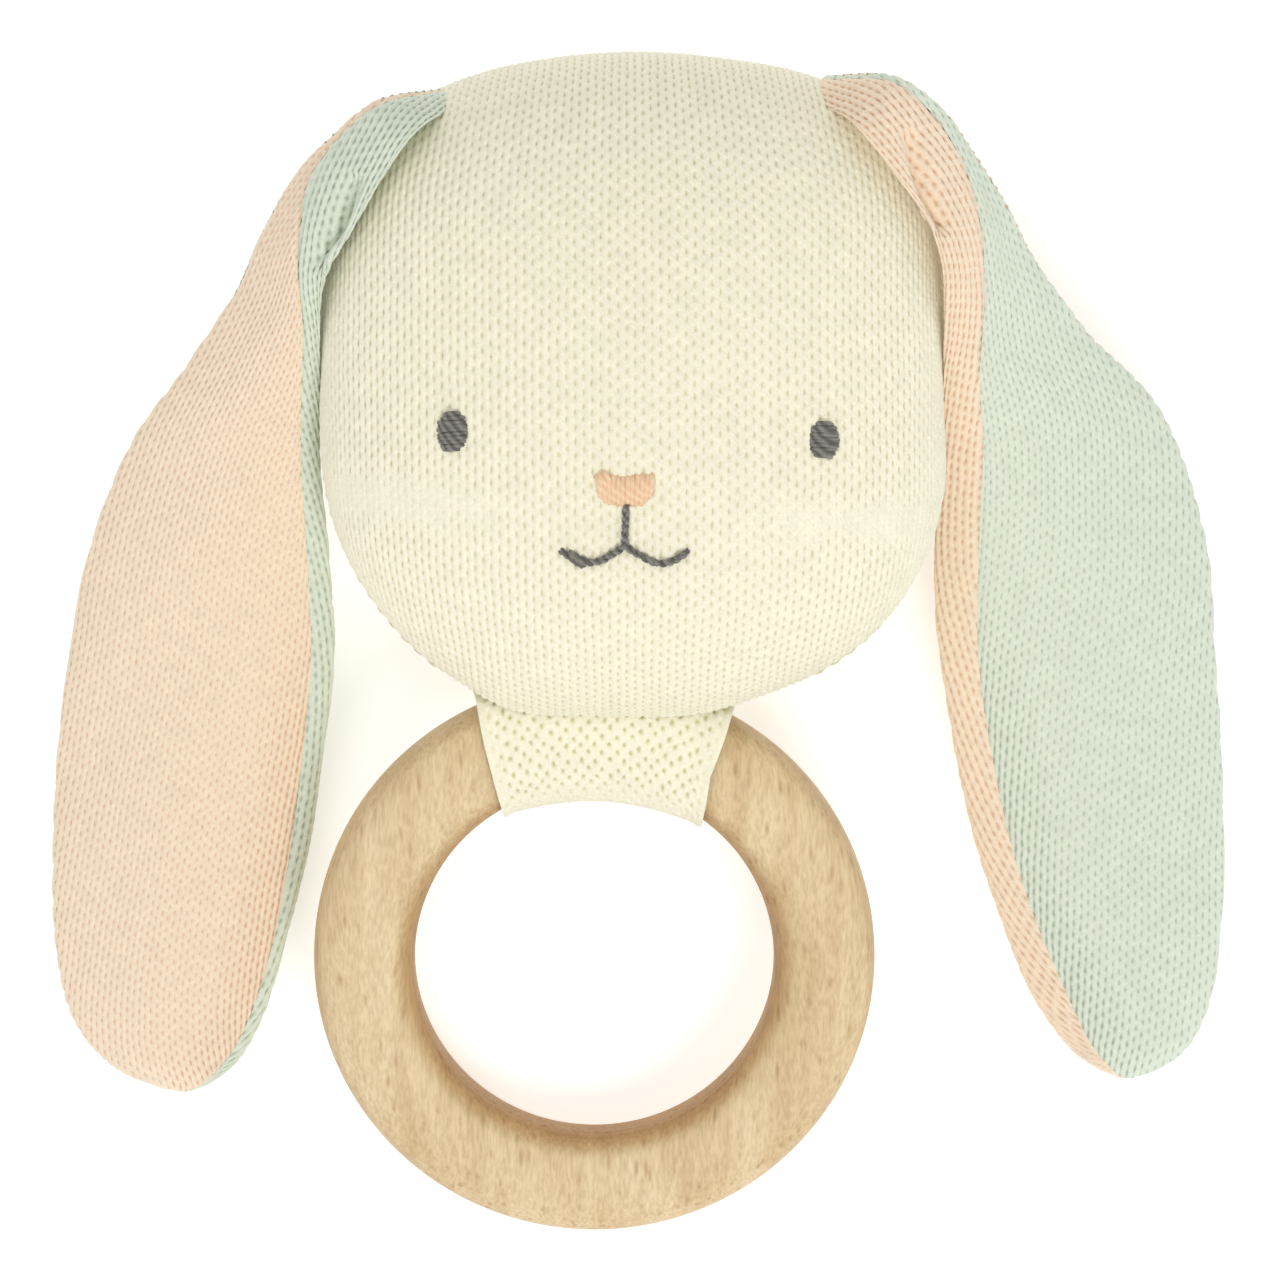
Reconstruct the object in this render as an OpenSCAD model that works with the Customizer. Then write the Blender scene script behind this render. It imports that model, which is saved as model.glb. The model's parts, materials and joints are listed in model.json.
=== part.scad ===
// Knitted rabbit-head rattle on a turned wooden teething ring, lying on its back.
// Millimetres, +Z up. The face looks along +Z and the ears' roots are towards +Y.
// The origin is on the floor, at the middle of the whole toy's footprint.

/* [Ring] */
// Outside diameter of the wooden ring
ring_od = 70; // [68:0.5:71]
// Width of the ring's section, from its hole to its outside
ring_w = 12.6; // [12:0.1:12.6]
// Thickness of the ring's section
ring_h = 12; // [11:0.1:12]
// Radius of the ring's rounded edges
ring_edge_r = 5; // [4:0.1:5.2]
// Sideways place of the ring's centre
ring_x = -5.8; // [-7:0.1:-4]

/* [Neck loop] */
// Height of the neck's fold line above the floor
neck_z = 20; // [19.6:0.1:20.4]
// Place of the neck's fold line along the toy
neck_y = -11.4; // [-11.6:0.1:-11.2]
// Thickness of the knitted loop round the ring
loop_t = 1.2; // [0.8:0.1:1.2]
// Angle that the loop covers to the left of the ring's top
loop_left = 28.5; // [24:0.5:30]
// Angle that the loop covers to the right of the ring's top
loop_right = 33.5; // [28:0.5:34]
// Play between the ring and the loop
loop_gap = 0.2; // [0.1:0.05:0.25]

/* [Head] */
// Height of the side seam above the floor
seam_z = 23; // [22.5:0.5:24]
// Height of the face above the side seam
front_h = 26; // [24:0.5:27]
// Thickness of the knitted covers
cover_t = 1.2; // [1:0.1:1.4]
// Depth that the back would have if the floor did not flatten it
back_h = 24.5; // [24.5:0.5:25.5]

/* [Rattle] */
// Radius of the rattle capsule inside the head
rattle_r = 13; // [12:0.5:13.5]
// Radius of each bead in the capsule
bead_r = 2.2; // [1.8:0.1:2.4]

/* [Ears] */
// Thickness of each knitted ply
ply_t = 0.9; // [0.7:0.1:1]
// Thickness of an ear against the drawn one
ear_plump = 1; // [0.95:0.01:1.02]

/* [Hidden] */
$fn = 96;

cream = [0.94, 0.92, 0.82];
peach = [0.96, 0.85, 0.75];
mint = [0.83, 0.88, 0.80];
beech = [0.88, 0.78, 0.62];
thread_grey = [0.42, 0.41, 0.40];
thread_nose = [0.94, 0.75, 0.58];
white_fill = [0.97, 0.97, 0.96];
bead_blue = [0.55, 0.70, 0.80];

tube_r = (ring_od - ring_w) / 2;
ring_flat = ring_w - 2 * ring_edge_r;
// The neck holds the ring's top up at half the head's depth, and its far edge rests on the floor
ring_tilt = asin((neck_z - ring_h / 2) / (2 * tube_r + ring_flat / 2));
// Radius of the head's hollow round the neck's fold line
recess_r = 9.3;
// How far that hollow reaches to each side of the ring's middle, and the length of its tapered ends
recess_left = 18.7;
recess_right = 22.3;
recess_taper = 6.5;
// Clearance left between a filling and its cover
fill_gap = 0.2;
wadding_gap = 0.5;
thread_r = 0.45;

// Middle of the head in plan, from which its domes rise
head_c = [-0.8, 33];
// Plan outline of the head, clockwise from the middle of the top
head_outline = [[-4, 73.5], [10, 72.8], [22, 70.2], [31, 64.2], [36, 55.5], [37.6, 44],
                [37.6, 30], [37, 17], [34.2, 7.6], [28.4, -0.6], [20, -5.9], [8, -9.1],
                [-4.5, -9.4], [-15.5, -9], [-23.4, -5.4], [-30.6, 0.2], [-36.4, 9],
                [-39, 19], [-39.4, 32], [-39, 45], [-36.8, 56], [-31.4, 64.6], [-20, 71.2]];
OUTLINE_STEPS = 2;
DOME_STEPS = 7;
// Roundness of the domes: larger means fuller towards the seam
dome_in = 2.4;
dome_out = 2.2;

// Each ear station: inner edge [x, y, z], outer edge [x, y, z], half thickness,
// and how far the seam lies from the inner edge as a share of the width
ear_left = [
    [[-26.0, 67.6, 37.2], [-27.4, 69.0, 36.2], 1.3, 0.75],
    [[-29.2, 62.5, 40.6], [-32.6, 67.2, 35.6], 1.8, 0.72],
    [[-32.4, 56.5, 41.0], [-38.0, 63.2, 33.0], 2.2, 0.62],
    [[-35.8, 50.5, 39.2], [-43.0, 58.0, 30.0], 2.5, 0.48],
    [[-38.8, 44.5, 35.6], [-47.2, 51.0, 26.5], 2.8, 0.32],
    [[-40.4, 38.0, 30.6], [-51.0, 43.0, 22.0], 3.0, 0.22],
    [[-40.9, 30.0, 25.0], [-57.0, 34.0, 16.5], 3.3, 0.13],
    [[-40.6, 21.0, 19.2], [-64.0, 24.0, 11.5], 3.6, 0.10],
    [[-39.6, 10.0, 14.0], [-69.0, 11.0, 8.5], 3.9, 0.09],
    [[-38.8, -2.0, 10.5], [-71.4, -2.0, 6.5], 4.0, 0.08],
    [[-39.4, -14.0, 8.0], [-73.0, -14.0, 5.5], 4.0, 0.08],
    [[-41.6, -26.0, 6.6], [-73.5, -27.0, 5.0], 4.0, 0.08],
    [[-44.2, -37.0, 5.6], [-73.2, -38.0, 4.8], 3.9, 0.09],
    [[-47.0, -46.0, 5.0], [-71.2, -47.0, 4.5], 3.7, 0.12],
    [[-50.2, -52.0, 4.4], [-66.5, -53.0, 4.2], 3.2, 0.15],
    [[-53.6, -55.2, 3.8], [-60.8, -55.8, 3.8], 2.2, 0.20],
    [[-55.8, -56.2, 3.4], [-58.4, -56.3, 3.4], 1.2, 0.25]];
ear_right = [
    [[24.0, 69.0, 37.0], [25.0, 71.0, 36.0], 1.3, 0.78],
    [[28.0, 64.0, 40.2], [31.6, 69.6, 35.4], 1.8, 0.80],
    [[31.6, 58.5, 40.8], [37.4, 66.0, 33.0], 2.2, 0.74],
    [[34.8, 52.6, 39.4], [41.6, 60.6, 30.2], 2.5, 0.56],
    [[37.2, 46.4, 36.4], [45.6, 54.4, 27.0], 2.8, 0.44],
    [[38.4, 40.0, 31.6], [49.4, 47.4, 23.0], 3.0, 0.36],
    [[38.9, 32.0, 26.0], [55.6, 38.6, 17.0], 3.3, 0.28],
    [[38.8, 22.0, 20.0], [65.0, 28.6, 11.5], 3.6, 0.21],
    [[38.2, 10.0, 14.4], [70.6, 13.0, 8.5], 3.9, 0.16],
    [[38.2, -2.0, 10.8], [71.9, -2.0, 6.5], 4.0, 0.13],
    [[39.4, -14.0, 8.2], [72.6, -14.0, 5.5], 4.0, 0.13],
    [[42.0, -26.0, 6.8], [73.0, -26.0, 5.0], 4.0, 0.14],
    [[45.6, -36.0, 5.8], [72.6, -36.0, 4.8], 3.9, 0.15],
    [[49.4, -44.4, 5.2], [71.2, -45.2, 4.5], 3.7, 0.18],
    [[53.2, -50.4, 4.6], [68.4, -51.0, 4.2], 3.2, 0.20],
    [[57.0, -53.4, 4.0], [64.4, -53.9, 4.0], 2.2, 0.24],
    [[59.4, -54.5, 3.6], [62.0, -54.6, 3.6], 1.2, 0.28]];
EAR_STEPS = 2;
PLY_STEPS = 9;

// ---- curves and lofts ----

// One value between b and c on a smooth curve that also runs through a and d
function smooth(a, b, c, d, f) =
    0.5 * (2 * b + (c - a) * f + (2 * a - 5 * b + 4 * c - d) * f * f
    + (3 * b - a - 3 * c + d) * f * f * f);

// Closed smooth curve through the points p, with steps points to each of them
function closed_curve(p, steps) =
    let (n = len(p))
    [for (i = [0 : n - 1], k = [0 : steps - 1])
        smooth(p[(i + n - 1) % n], p[i], p[(i + 1) % n], p[(i + 2) % n], k / steps)];

// Open smooth curve through the values p
function open_curve(p, steps) =
    let (n = len(p))
    [for (i = [0 : n - 2], k = [0 : (i == n - 2 ? steps : steps - 1)])
        smooth(p[max(i - 1, 0)], p[i], p[i + 1], p[min(i + 2, n - 1)], k / steps)];

// Closed solid through rings of equal length, each a closed loop, with flat ends
module loft(rings) {
    n = len(rings[0]);
    m = len(rings);
    sides = [for (j = [0 : m - 2], i = [0 : n - 1])
        let (a = j * n + i, b = j * n + (i + 1) % n)
        each [[a, b, b + n], [a, b + n, a + n]]];
    polyhedron(
        points = [for (r = rings) each r],
        faces = concat(sides, [[for (i = [n - 1 : -1 : 0]) i]],
                       [[for (i = [0 : n - 1]) (m - 1) * n + i]]),
        convexity = 6);
}

// Round tube of radius r along the points p, with its ends cut square
module tube(p, r, sides, closed = false) {
    n = len(p);
    rings = [for (i = [0 : n - 1])
        let (a = p[closed ? (i + n - 1) % n : max(i - 1, 0)],
             b = p[closed ? (i + 1) % n : min(i + 1, n - 1)],
             t = (b - a) / norm(b - a),
             u = cross([0, 0, 1], t) / norm(cross([0, 0, 1], t)),
             v = cross(t, u))
        [for (k = [0 : sides - 1])
            p[i] + r * (cos(360 * k / sides) * u + sin(360 * k / sides) * v)]];
    if (closed) {
        polyhedron(
            points = [for (g = rings) each g],
            faces = [for (j = [0 : n - 1], k = [0 : sides - 1])
                let (e = (j + 1) % n, f = (k + 1) % sides)
                each [[j * sides + k, e * sides + k, e * sides + f],
                      [j * sides + k, e * sides + f, j * sides + f]]],
            convexity = 8);
    } else {
        loft([for (g = rings) [for (k = [sides - 1 : -1 : 0]) g[k]]]);
    }
}

// ---- head ----

outline = closed_curve(head_outline, OUTLINE_STEPS);

// Height of a dome, as a share of its full height, at s of the way from middle to seam
function dome(s) = pow(1 - pow(min(s, 1), dome_in), 1 / dome_out);

// Solid dome on the seam plane: the head's outline moved in by inset, rising by h
// towards the face (side = 1) or the back (side = -1)
module head_dome(side, h, inset) {
    n = len(outline);
    flat = [for (q = outline) let (d = q - head_c) head_c + d * (1 - inset / norm(d))];
    s = [for (j = [1 : DOME_STEPS]) sin(90 * j / DOME_STEPS)];
    pts = concat(
        [for (j = [0 : DOME_STEPS - 1], i = [0 : n - 1])
            let (q = head_c + s[j] * (flat[i] - head_c))
            [q[0], q[1], seam_z + side * h * dome(s[j])]],
        [[head_c[0], head_c[1], seam_z + side * h]]);
    top = [for (i = [0 : n - 1]) [DOME_STEPS * n, i, (i + 1) % n]];
    sides = [for (j = [0 : DOME_STEPS - 2], i = [0 : n - 1])
        let (a = j * n + i, b = j * n + (i + 1) % n)
        each [[a, a + n, b + n], [a, b + n, b]]];
    base = [[for (i = [n - 1 : -1 : 0]) (DOME_STEPS - 1) * n + i]];
    faces = concat(top, sides, base);
    polyhedron(
        points = pts,
        faces = side > 0 ? faces : [for (f = faces) [for (i = [len(f) - 1 : -1 : 0]) f[i]]],
        convexity = 4);
}

// Hollow in the head round the neck's fold line, so that the ring can swing
module neck_recess(r) {
    translate([ring_x, neck_y, neck_z]) rotate([0, 90, 0]) {
        translate([0, 0, -recess_left]) cylinder(r = r, h = recess_left + recess_right);
        translate([0, 0, recess_right]) cylinder(r1 = r, r2 = r - recess_taper, h = recess_taper);
        translate([0, 0, -recess_left - recess_taper])
            cylinder(r1 = r - recess_taper, r2 = r, h = recess_taper);
    }
}

// Everything below the height z
module below(z) {
    translate([-60, -30, z - 20]) cube([120, 120, 20]);
}

// The back of the head or of what fills it: moved in by inset, flat on the floor side
module back_half(inset) {
    difference() {
        head_dome(-1, back_h - inset, inset);
        neck_recess(recess_r + inset);
        below(inset);
    }
}

// The front of the head or of what fills it: moved in by inset
module front_half(inset) {
    difference() {
        head_dome(1, front_h - inset, inset);
        neck_recess(recess_r + inset);
    }
}

module head_front() {
    color(cream) difference() {
        front_half(0);
        front_half(cover_t);
    }
}

module head_back() {
    color(cream) difference() {
        back_half(0);
        back_half(cover_t);
    }
}

module head_seam() {
    path = [for (q = outline) let (d = q - head_c)
        [each (head_c + d * (1 - 0.3 / norm(d))), seam_z]];
    color(cream) difference() {
        tube(path, thread_r, 8, closed = true);
        neck_recess(recess_r);
    }
}

// Round pocket in the filling that holds the rattle
module rattle_pocket() {
    translate([head_c[0], head_c[1], seam_z]) sphere(r = rattle_r + fill_gap);
}

module stuffing_front() {
    color(white_fill) difference() {
        front_half(cover_t + fill_gap);
        rattle_pocket();
    }
}

module stuffing_back() {
    color(white_fill) difference() {
        back_half(cover_t + fill_gap);
        rattle_pocket();
    }
}

// ---- rattle ----

rattle_wall = 1.2;
rattle_in = rattle_r - rattle_wall;
lip_h = 1.6;
lip_r = rattle_in + rattle_wall / 2;
lip_gap = 0.05;
// Slice of the capsule in which its two halves overlap
lip_z = seam_z - lip_h;

module capsule_half(side) {
    intersection() {
        difference() {
            translate([head_c[0], head_c[1], seam_z]) sphere(r = rattle_r);
            translate([head_c[0], head_c[1], seam_z]) sphere(r = rattle_in);
        }
        translate([head_c[0] - 20, head_c[1] - 20, side > 0 ? seam_z : seam_z - 20])
            cube([40, 40, 20]);
    }
}

// Ring-shaped lip of the front half, which seats inside the back half
module capsule_lip(outer) {
    translate([head_c[0], head_c[1], lip_z]) difference() {
        cylinder(r = outer, h = lip_h);
        translate([0, 0, -1]) cylinder(r = rattle_in - 0.2, h = lip_h + 2);
    }
}

module rattle_front() {
    color(white_fill) union() {
        capsule_half(1);
        capsule_lip(lip_r);
    }
}

module rattle_back() {
    color(white_fill) difference() {
        capsule_half(-1);
        translate([head_c[0], head_c[1], lip_z - lip_gap])
            cylinder(r = lip_r + lip_gap, h = lip_h + 1);
    }
}

bead_ring_r = 2 * bead_r + 0.3;
bead_reach = rattle_in - bead_r - 0.4;

module rattle_beads() {
    low = seam_z - sqrt(bead_reach * bead_reach - bead_ring_r * bead_ring_r);
    color(bead_blue) translate([head_c[0], head_c[1], 0]) {
        translate([0, 0, seam_z - bead_reach]) sphere(r = bead_r, $fn = 32);
        for (a = [0 : 60 : 300])
            rotate([0, 0, a]) translate([bead_ring_r, 0, low]) sphere(r = bead_r, $fn = 32);
    }
}

// ---- face ----

// Distance from the middle of the head to its outline along the plan direction u
function reach(u) =
    let (n = len(outline))
    max([for (i = [0 : n - 1])
        let (p = outline[i] - head_c, q = outline[(i + 1) % n] - head_c, e = q - p,
             along = u[0] * e[1] - u[1] * e[0],
             r = (p[0] * e[1] - p[1] * e[0]) / along,
             f = (u[1] * p[0] - u[0] * p[1]) / along)
        (f >= 0 && f <= 1 && r > 0) ? r : 0]);

// Point on the face above the plan point [x, y]
function on_face(x, y) =
    let (d = [x, y] - head_c, r = max(norm(d), 0.01))
    [x, y, seam_z + front_h * dome(r / reach(d / r))];

// Stands its children on the face at [x, y], square to the surface, sunk by sink
module stitched_at(x, y, sink) {
    p = on_face(x, y);
    dx = on_face(x + 1, y) - on_face(x - 1, y);
    dy = on_face(x, y + 1) - on_face(x, y - 1);
    n = cross(dx, dy) / norm(cross(dx, dy));
    translate(p) rotate([0, acos(n[2]), atan2(n[1], n[0])]) translate([0, 0, -sink])
        rotate([0, 0, -atan2(n[1], n[0])]) children();
}

stitch_h = 1.1;
stitch_sink = 0.5;

module eye(x, y, w, h) {
    color(thread_grey) stitched_at(x, y, stitch_sink) linear_extrude(stitch_h)
        polygon([for (a = [0 : 15 : 345]) [w / 2 * cos(a), h / 2 * sin(a)]]);
}

module eye_left() {
    eye(-23.5, 26.2, 4, 5.2);
}

module eye_right() {
    eye(22.8, 25.2, 3.9, 4.8);
}

module nose() {
    color(thread_nose) stitched_at(-1.9, 19, stitch_sink) linear_extrude(stitch_h)
        polygon([[-3.9, 2.2], [3.9, 2.2], [3.9, 0.6], [2.6, -2.2], [-2.6, -2.2], [-3.4, -0.2]]);
}

// Backstitched lines of the mouth, in plan: the stem, then both arms from end to end
mouth_stem = [[-1.8, 16.6], [-1.9, 14.2], [-2, 11.6]];
mouth_arms = [[-9.6, 11.1], [-7.2, 9.8], [-5.2, 9.8], [-2, 11.6],
              [0.2, 10.4], [2.4, 9.6], [3.9, 9.9], [5.8, 10.9]];

module mouth() {
    color(thread_grey) union() {
        tube([for (q = mouth_stem) on_face(q[0], q[1])], thread_r, 8);
        tube([for (q = mouth_arms) on_face(q[0], q[1])], thread_r, 8);
    }
}

// ---- ring and neck ----

// Rounded rectangle w by h round the point [tube_r, 0], with edges of radius r
module ring_section(w, h, r) {
    translate([tube_r, 0]) {
        square([w - 2 * r, h], center = true);
        square([w, h - 2 * r], center = true);
        for (x = [-1, 1], y = [-1, 1])
            translate([x * (w / 2 - r), y * (h / 2 - r)]) circle(r = r);
    }
}

// Carries the ring's own frame, its axis up through its centre, to its leaning place
module at_ring() {
    translate([ring_x, neck_y, neck_z]) rotate([ring_tilt, 0, 0]) translate([0, -tube_r, 0])
        children();
}

module ring() {
    color(beech) at_ring() rotate_extrude() ring_section(ring_w, ring_h, ring_edge_r);
}

module neck_loop() {
    inner = loop_gap;
    outer = loop_gap + loop_t;
    color(cream) at_ring() rotate([0, 0, 90 - loop_right])
        rotate_extrude(angle = loop_left + loop_right) difference() {
            ring_section(ring_w + 2 * outer, ring_h + 2 * outer, ring_edge_r + outer);
            ring_section(ring_w + 2 * inner, ring_h + 2 * inner, ring_edge_r + inner);
        }
}

// Sewn line that closes the loop on the side that faces the head
module neck_seam() {
    color(cream) at_ring() rotate([0, 0, 90 - loop_right])
        rotate_extrude(angle = loop_left + loop_right)
            translate([tube_r + ring_w / 2 + loop_gap + loop_t, 0]) circle(r = thread_r);
}

// ---- ears ----

// Point on an ear's section at the angle a: 0 at the inner edge, 90 on top, 180 outside
function ear_point(s, a, inset) =
    let (mid = (s[0] + s[1]) / 2, half = (s[0] - s[1]) / 2,
         w = max(norm(half) - inset, 0.15), t = max(s[2] * ear_plump - inset, 0.15))
    mid + half / norm(half) * w * cos(a) + [0, 0, t * sin(a)];

// Angle at which the seam lies on top of an ear
function seam_angle(s) = acos(1 - 2 * s[3]);

// One knitted ply: the outside of the ear from one seam angle to the other
module ear_ply(stations, front) {
    smoothed = open_curve(stations, EAR_STEPS);
    side = stations[0][0][0] < 0 ? 1 : -1;
    rings = [for (s = smoothed)
        let (a0 = front ? seam_angle(s) : 180, a1 = front ? 180 : 360 + seam_angle(s),
             out = [for (k = [0 : PLY_STEPS])
                 ear_point(s, a0 + (a1 - a0) * k / PLY_STEPS, 0)],
             in = [for (k = [PLY_STEPS : -1 : 0])
                 ear_point(s, a0 + (a1 - a0) * k / PLY_STEPS, ply_t)])
        concat(out, in)];
    loft(side > 0 ? rings : [for (r = rings) [for (i = [len(r) - 1 : -1 : 0]) r[i]]]);
}

// Thin wadding inside an ear, clear of its root and its tip
module ear_wadding(stations) {
    smoothed = open_curve(stations, EAR_STEPS);
    side = stations[0][0][0] < 0 ? 1 : -1;
    rings = [for (i = [4 : len(smoothed) - 4])
        [for (k = [0 : 15]) ear_point(smoothed[i], side * 22.5 * k, ply_t + wadding_gap)]];
    color(white_fill) loft(rings);
}

// Overlocked seam: down the outer edge, round the tip and back up the inner side
module ear_seam(stations) {
    smoothed = open_curve(stations, EAR_STEPS);
    n = len(smoothed);
    down = [for (i = [1 : n - 2]) ear_point(smoothed[i], 180, 0.2)];
    up = [for (i = [n - 2 : -1 : 1]) ear_point(smoothed[i], seam_angle(smoothed[i]), 0.2)];
    tube(concat(down, up), 0.35, 6);
}

module ear_left_front() {
    color(peach) ear_ply(ear_left, true);
}

module ear_left_back() {
    color(mint) ear_ply(ear_left, false);
}

module ear_left_wadding() {
    ear_wadding(ear_left);
}

module ear_left_seam() {
    color(mint) ear_seam(ear_left);
}

module ear_right_front() {
    color(mint) ear_ply(ear_right, true);
}

module ear_right_back() {
    color(peach) ear_ply(ear_right, false);
}

module ear_right_wadding() {
    ear_wadding(ear_right);
}

module ear_right_seam() {
    color(peach) ear_seam(ear_right);
}

ring();
neck_loop();
neck_seam();
head_front();
head_back();
head_seam();
stuffing_front();
stuffing_back();
rattle_front();
rattle_back();
rattle_beads();
eye_left();
eye_right();
nose();
mouth();
ear_left_front();
ear_left_back();
ear_left_wadding();
ear_left_seam();
ear_right_front();
ear_right_back();
ear_right_wadding();
ear_right_seam();
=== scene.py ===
import json
import math

import bpy
import numpy as np
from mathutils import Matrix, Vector


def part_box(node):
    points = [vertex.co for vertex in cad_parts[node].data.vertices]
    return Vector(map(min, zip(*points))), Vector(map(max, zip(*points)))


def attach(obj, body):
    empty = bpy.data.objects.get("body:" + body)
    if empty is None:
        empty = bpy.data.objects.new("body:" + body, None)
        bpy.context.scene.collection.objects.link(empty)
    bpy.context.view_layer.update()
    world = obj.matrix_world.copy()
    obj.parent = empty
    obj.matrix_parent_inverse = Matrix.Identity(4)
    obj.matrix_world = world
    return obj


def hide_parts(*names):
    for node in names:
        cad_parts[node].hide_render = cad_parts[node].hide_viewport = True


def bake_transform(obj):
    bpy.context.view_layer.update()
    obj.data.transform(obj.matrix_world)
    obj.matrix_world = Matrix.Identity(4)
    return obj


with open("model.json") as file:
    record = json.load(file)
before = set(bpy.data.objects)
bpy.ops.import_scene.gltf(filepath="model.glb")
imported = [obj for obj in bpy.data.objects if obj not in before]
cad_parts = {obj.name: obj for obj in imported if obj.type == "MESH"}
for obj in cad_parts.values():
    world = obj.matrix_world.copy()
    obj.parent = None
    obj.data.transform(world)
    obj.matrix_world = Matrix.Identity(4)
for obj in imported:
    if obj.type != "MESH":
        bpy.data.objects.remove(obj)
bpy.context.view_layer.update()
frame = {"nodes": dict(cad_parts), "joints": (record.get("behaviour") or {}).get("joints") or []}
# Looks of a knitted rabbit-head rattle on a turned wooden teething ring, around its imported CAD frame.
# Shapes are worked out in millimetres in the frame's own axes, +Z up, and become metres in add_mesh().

MM = 0.001


def box_mm(node):
    """Lowest and highest corner of a CAD node, in millimetres."""
    low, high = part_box(node)
    return np.array(low) / MM, np.array(high) / MM


# ---------------------------------------------------------------- curves, noise and meshes

def smooth(a, b, c, d, f):
    """Catmull-Rom value between b and c."""
    return 0.5 * (2 * b + (c - a) * f + (2 * a - 5 * b + 4 * c - d) * f * f
                  + (3 * b - a - 3 * c + d) * f ** 3)


def open_curve(points, steps):
    """Smooth open curve through the points, with steps values to each of them."""
    p = np.asarray(points, float)
    last = len(p) - 1
    f = (np.arange(steps) / steps).reshape((-1,) + (1,) * (p.ndim - 1))
    parts = [smooth(p[max(i - 1, 0)], p[i], p[i + 1], p[min(i + 2, last)], f) for i in range(last)]
    return np.concatenate(parts + [p[-1:]])


def noise(u, v, seed):
    """Smooth random values from -1 to 1, one unit of u or v to each of them."""
    table = np.random.default_rng(seed).uniform(-1, 1, (256, 256))
    i, j = np.floor(u).astype(int), np.floor(v).astype(int)
    f, g = u - i, v - j
    f, g = f * f * (3 - 2 * f), g * g * (3 - 2 * g)
    near = table[i % 256, j % 256] * (1 - f) + table[(i + 1) % 256, j % 256] * f
    far = table[i % 256, (j + 1) % 256] * (1 - f) + table[(i + 1) % 256, (j + 1) % 256] * f
    return near * (1 - g) + far * g


def unit(v):
    """Vectors of length 1 along the given ones."""
    return v / np.maximum(np.linalg.norm(v, axis=-1, keepdims=True), 1e-9)


def grid_faces(rows, columns, closed=False):
    """Quads of a grid of vertices, rows by columns, with each row a closed loop if closed."""
    index = np.arange(rows * columns).reshape(rows, columns)
    if closed:
        index = np.concatenate([index, index[:, :1]], 1)
    return np.stack([index[:-1, :-1], index[:-1, 1:], index[1:, 1:], index[1:, :-1]], -1).reshape(-1, 4)


def grid_normals(points):
    """Unit normals of a grid of points, by differences along its rows and columns."""
    return unit(np.cross(np.gradient(points, axis=1), np.gradient(points, axis=0)))


def add_mesh(name, points, faces, material, slot, uv=None, yarn=None):
    """Smooth mesh from points in millimetres. uv is one pair a vertex, yarn its height in the knit, or on the
    ring the share of painted shade.
    """
    points = np.asarray(points, float).reshape(-1, 3)
    faces = np.asarray(faces, np.int32)
    mesh = bpy.data.meshes.new(name)
    mesh.vertices.add(len(points))
    mesh.vertices.foreach_set("co", (points * MM).astype(np.float32).ravel())
    mesh.loops.add(faces.size)
    mesh.loops.foreach_set("vertex_index", faces.ravel())
    mesh.polygons.add(len(faces))
    sides = faces.shape[1]
    mesh.polygons.foreach_set("loop_start", np.arange(0, faces.size, sides, dtype=np.int32))
    mesh.polygons.foreach_set("use_smooth", np.ones(len(faces), bool))
    mesh.update(calc_edges=True)
    if uv is not None:
        layer = mesh.uv_layers.new(name="stitches")
        layer.data.foreach_set("uv", np.asarray(uv, np.float32).reshape(-1, 2)[faces.ravel()].ravel())
    if yarn is not None:
        height = mesh.attributes.new("yarn", "FLOAT", "POINT")
        height.data.foreach_set("value", np.asarray(yarn, np.float32).ravel())
    mesh.materials.append(material)
    piece = bpy.data.objects.new(name, mesh)
    bpy.context.scene.collection.objects.link(piece)
    return piece


# A tube's ends stand past its path and are drawn in, by these shares of its radius
TIP_OUT, TIP_RADIUS = 0.4, 0.35


def tube(path, radius, sides=8):
    """Points and quads of a tube along a path. radius is one value or one for each point of the path."""
    path = np.asarray(path, float)
    radius = np.broadcast_to(np.asarray(radius, float), len(path))
    along = unit(np.gradient(path, axis=0))
    up = np.zeros_like(path)
    ref = np.array([0.0, 0.0, 1.0]) if abs(along[0][2]) < 0.9 else np.array([1.0, 0.0, 0.0])
    for i, t in enumerate(along):
        ref = ref - t * (ref @ t)
        ref = ref / max(np.linalg.norm(ref), 1e-9)
        up[i] = ref
    side = np.cross(along, up)
    a = np.arange(sides) * 2 * math.pi / sides
    ring = np.cos(a)[None, :, None] * up[:, None] + np.sin(a)[None, :, None] * side[:, None]
    first = path[:1] - along[:1] * radius[0] * TIP_OUT
    last = path[-1:] + along[-1:] * radius[-1] * TIP_OUT
    path = np.concatenate([first, path, last])
    ring = np.concatenate([ring[:1], ring, ring[-1:]])
    radius = np.concatenate([[radius[0] * TIP_RADIUS], radius, [radius[-1] * TIP_RADIUS]])
    points = path[:, None] + ring * radius[:, None, None]
    return points.reshape(-1, 3), grid_faces(len(path), sides, closed=True)


def joined(parts):
    """Several (points, quads) as one."""
    points, faces, first = [], [], 0
    for p, f in parts:
        points.append(p)
        faces.append(np.asarray(f) + first)
        first += len(p)
    return np.concatenate(points), np.concatenate(faces)


# ---------------------------------------------------------------- knitting

# Middles of the gaps between stitches, in wales and courses from the middle of a stitch's foot
GAPS = ((0, -0.38), (0, 0.62), (0, 1.62), (-0.5, 0.12), (-0.5, 1.12), (0.5, 0.12), (0.5, 1.12))


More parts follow.
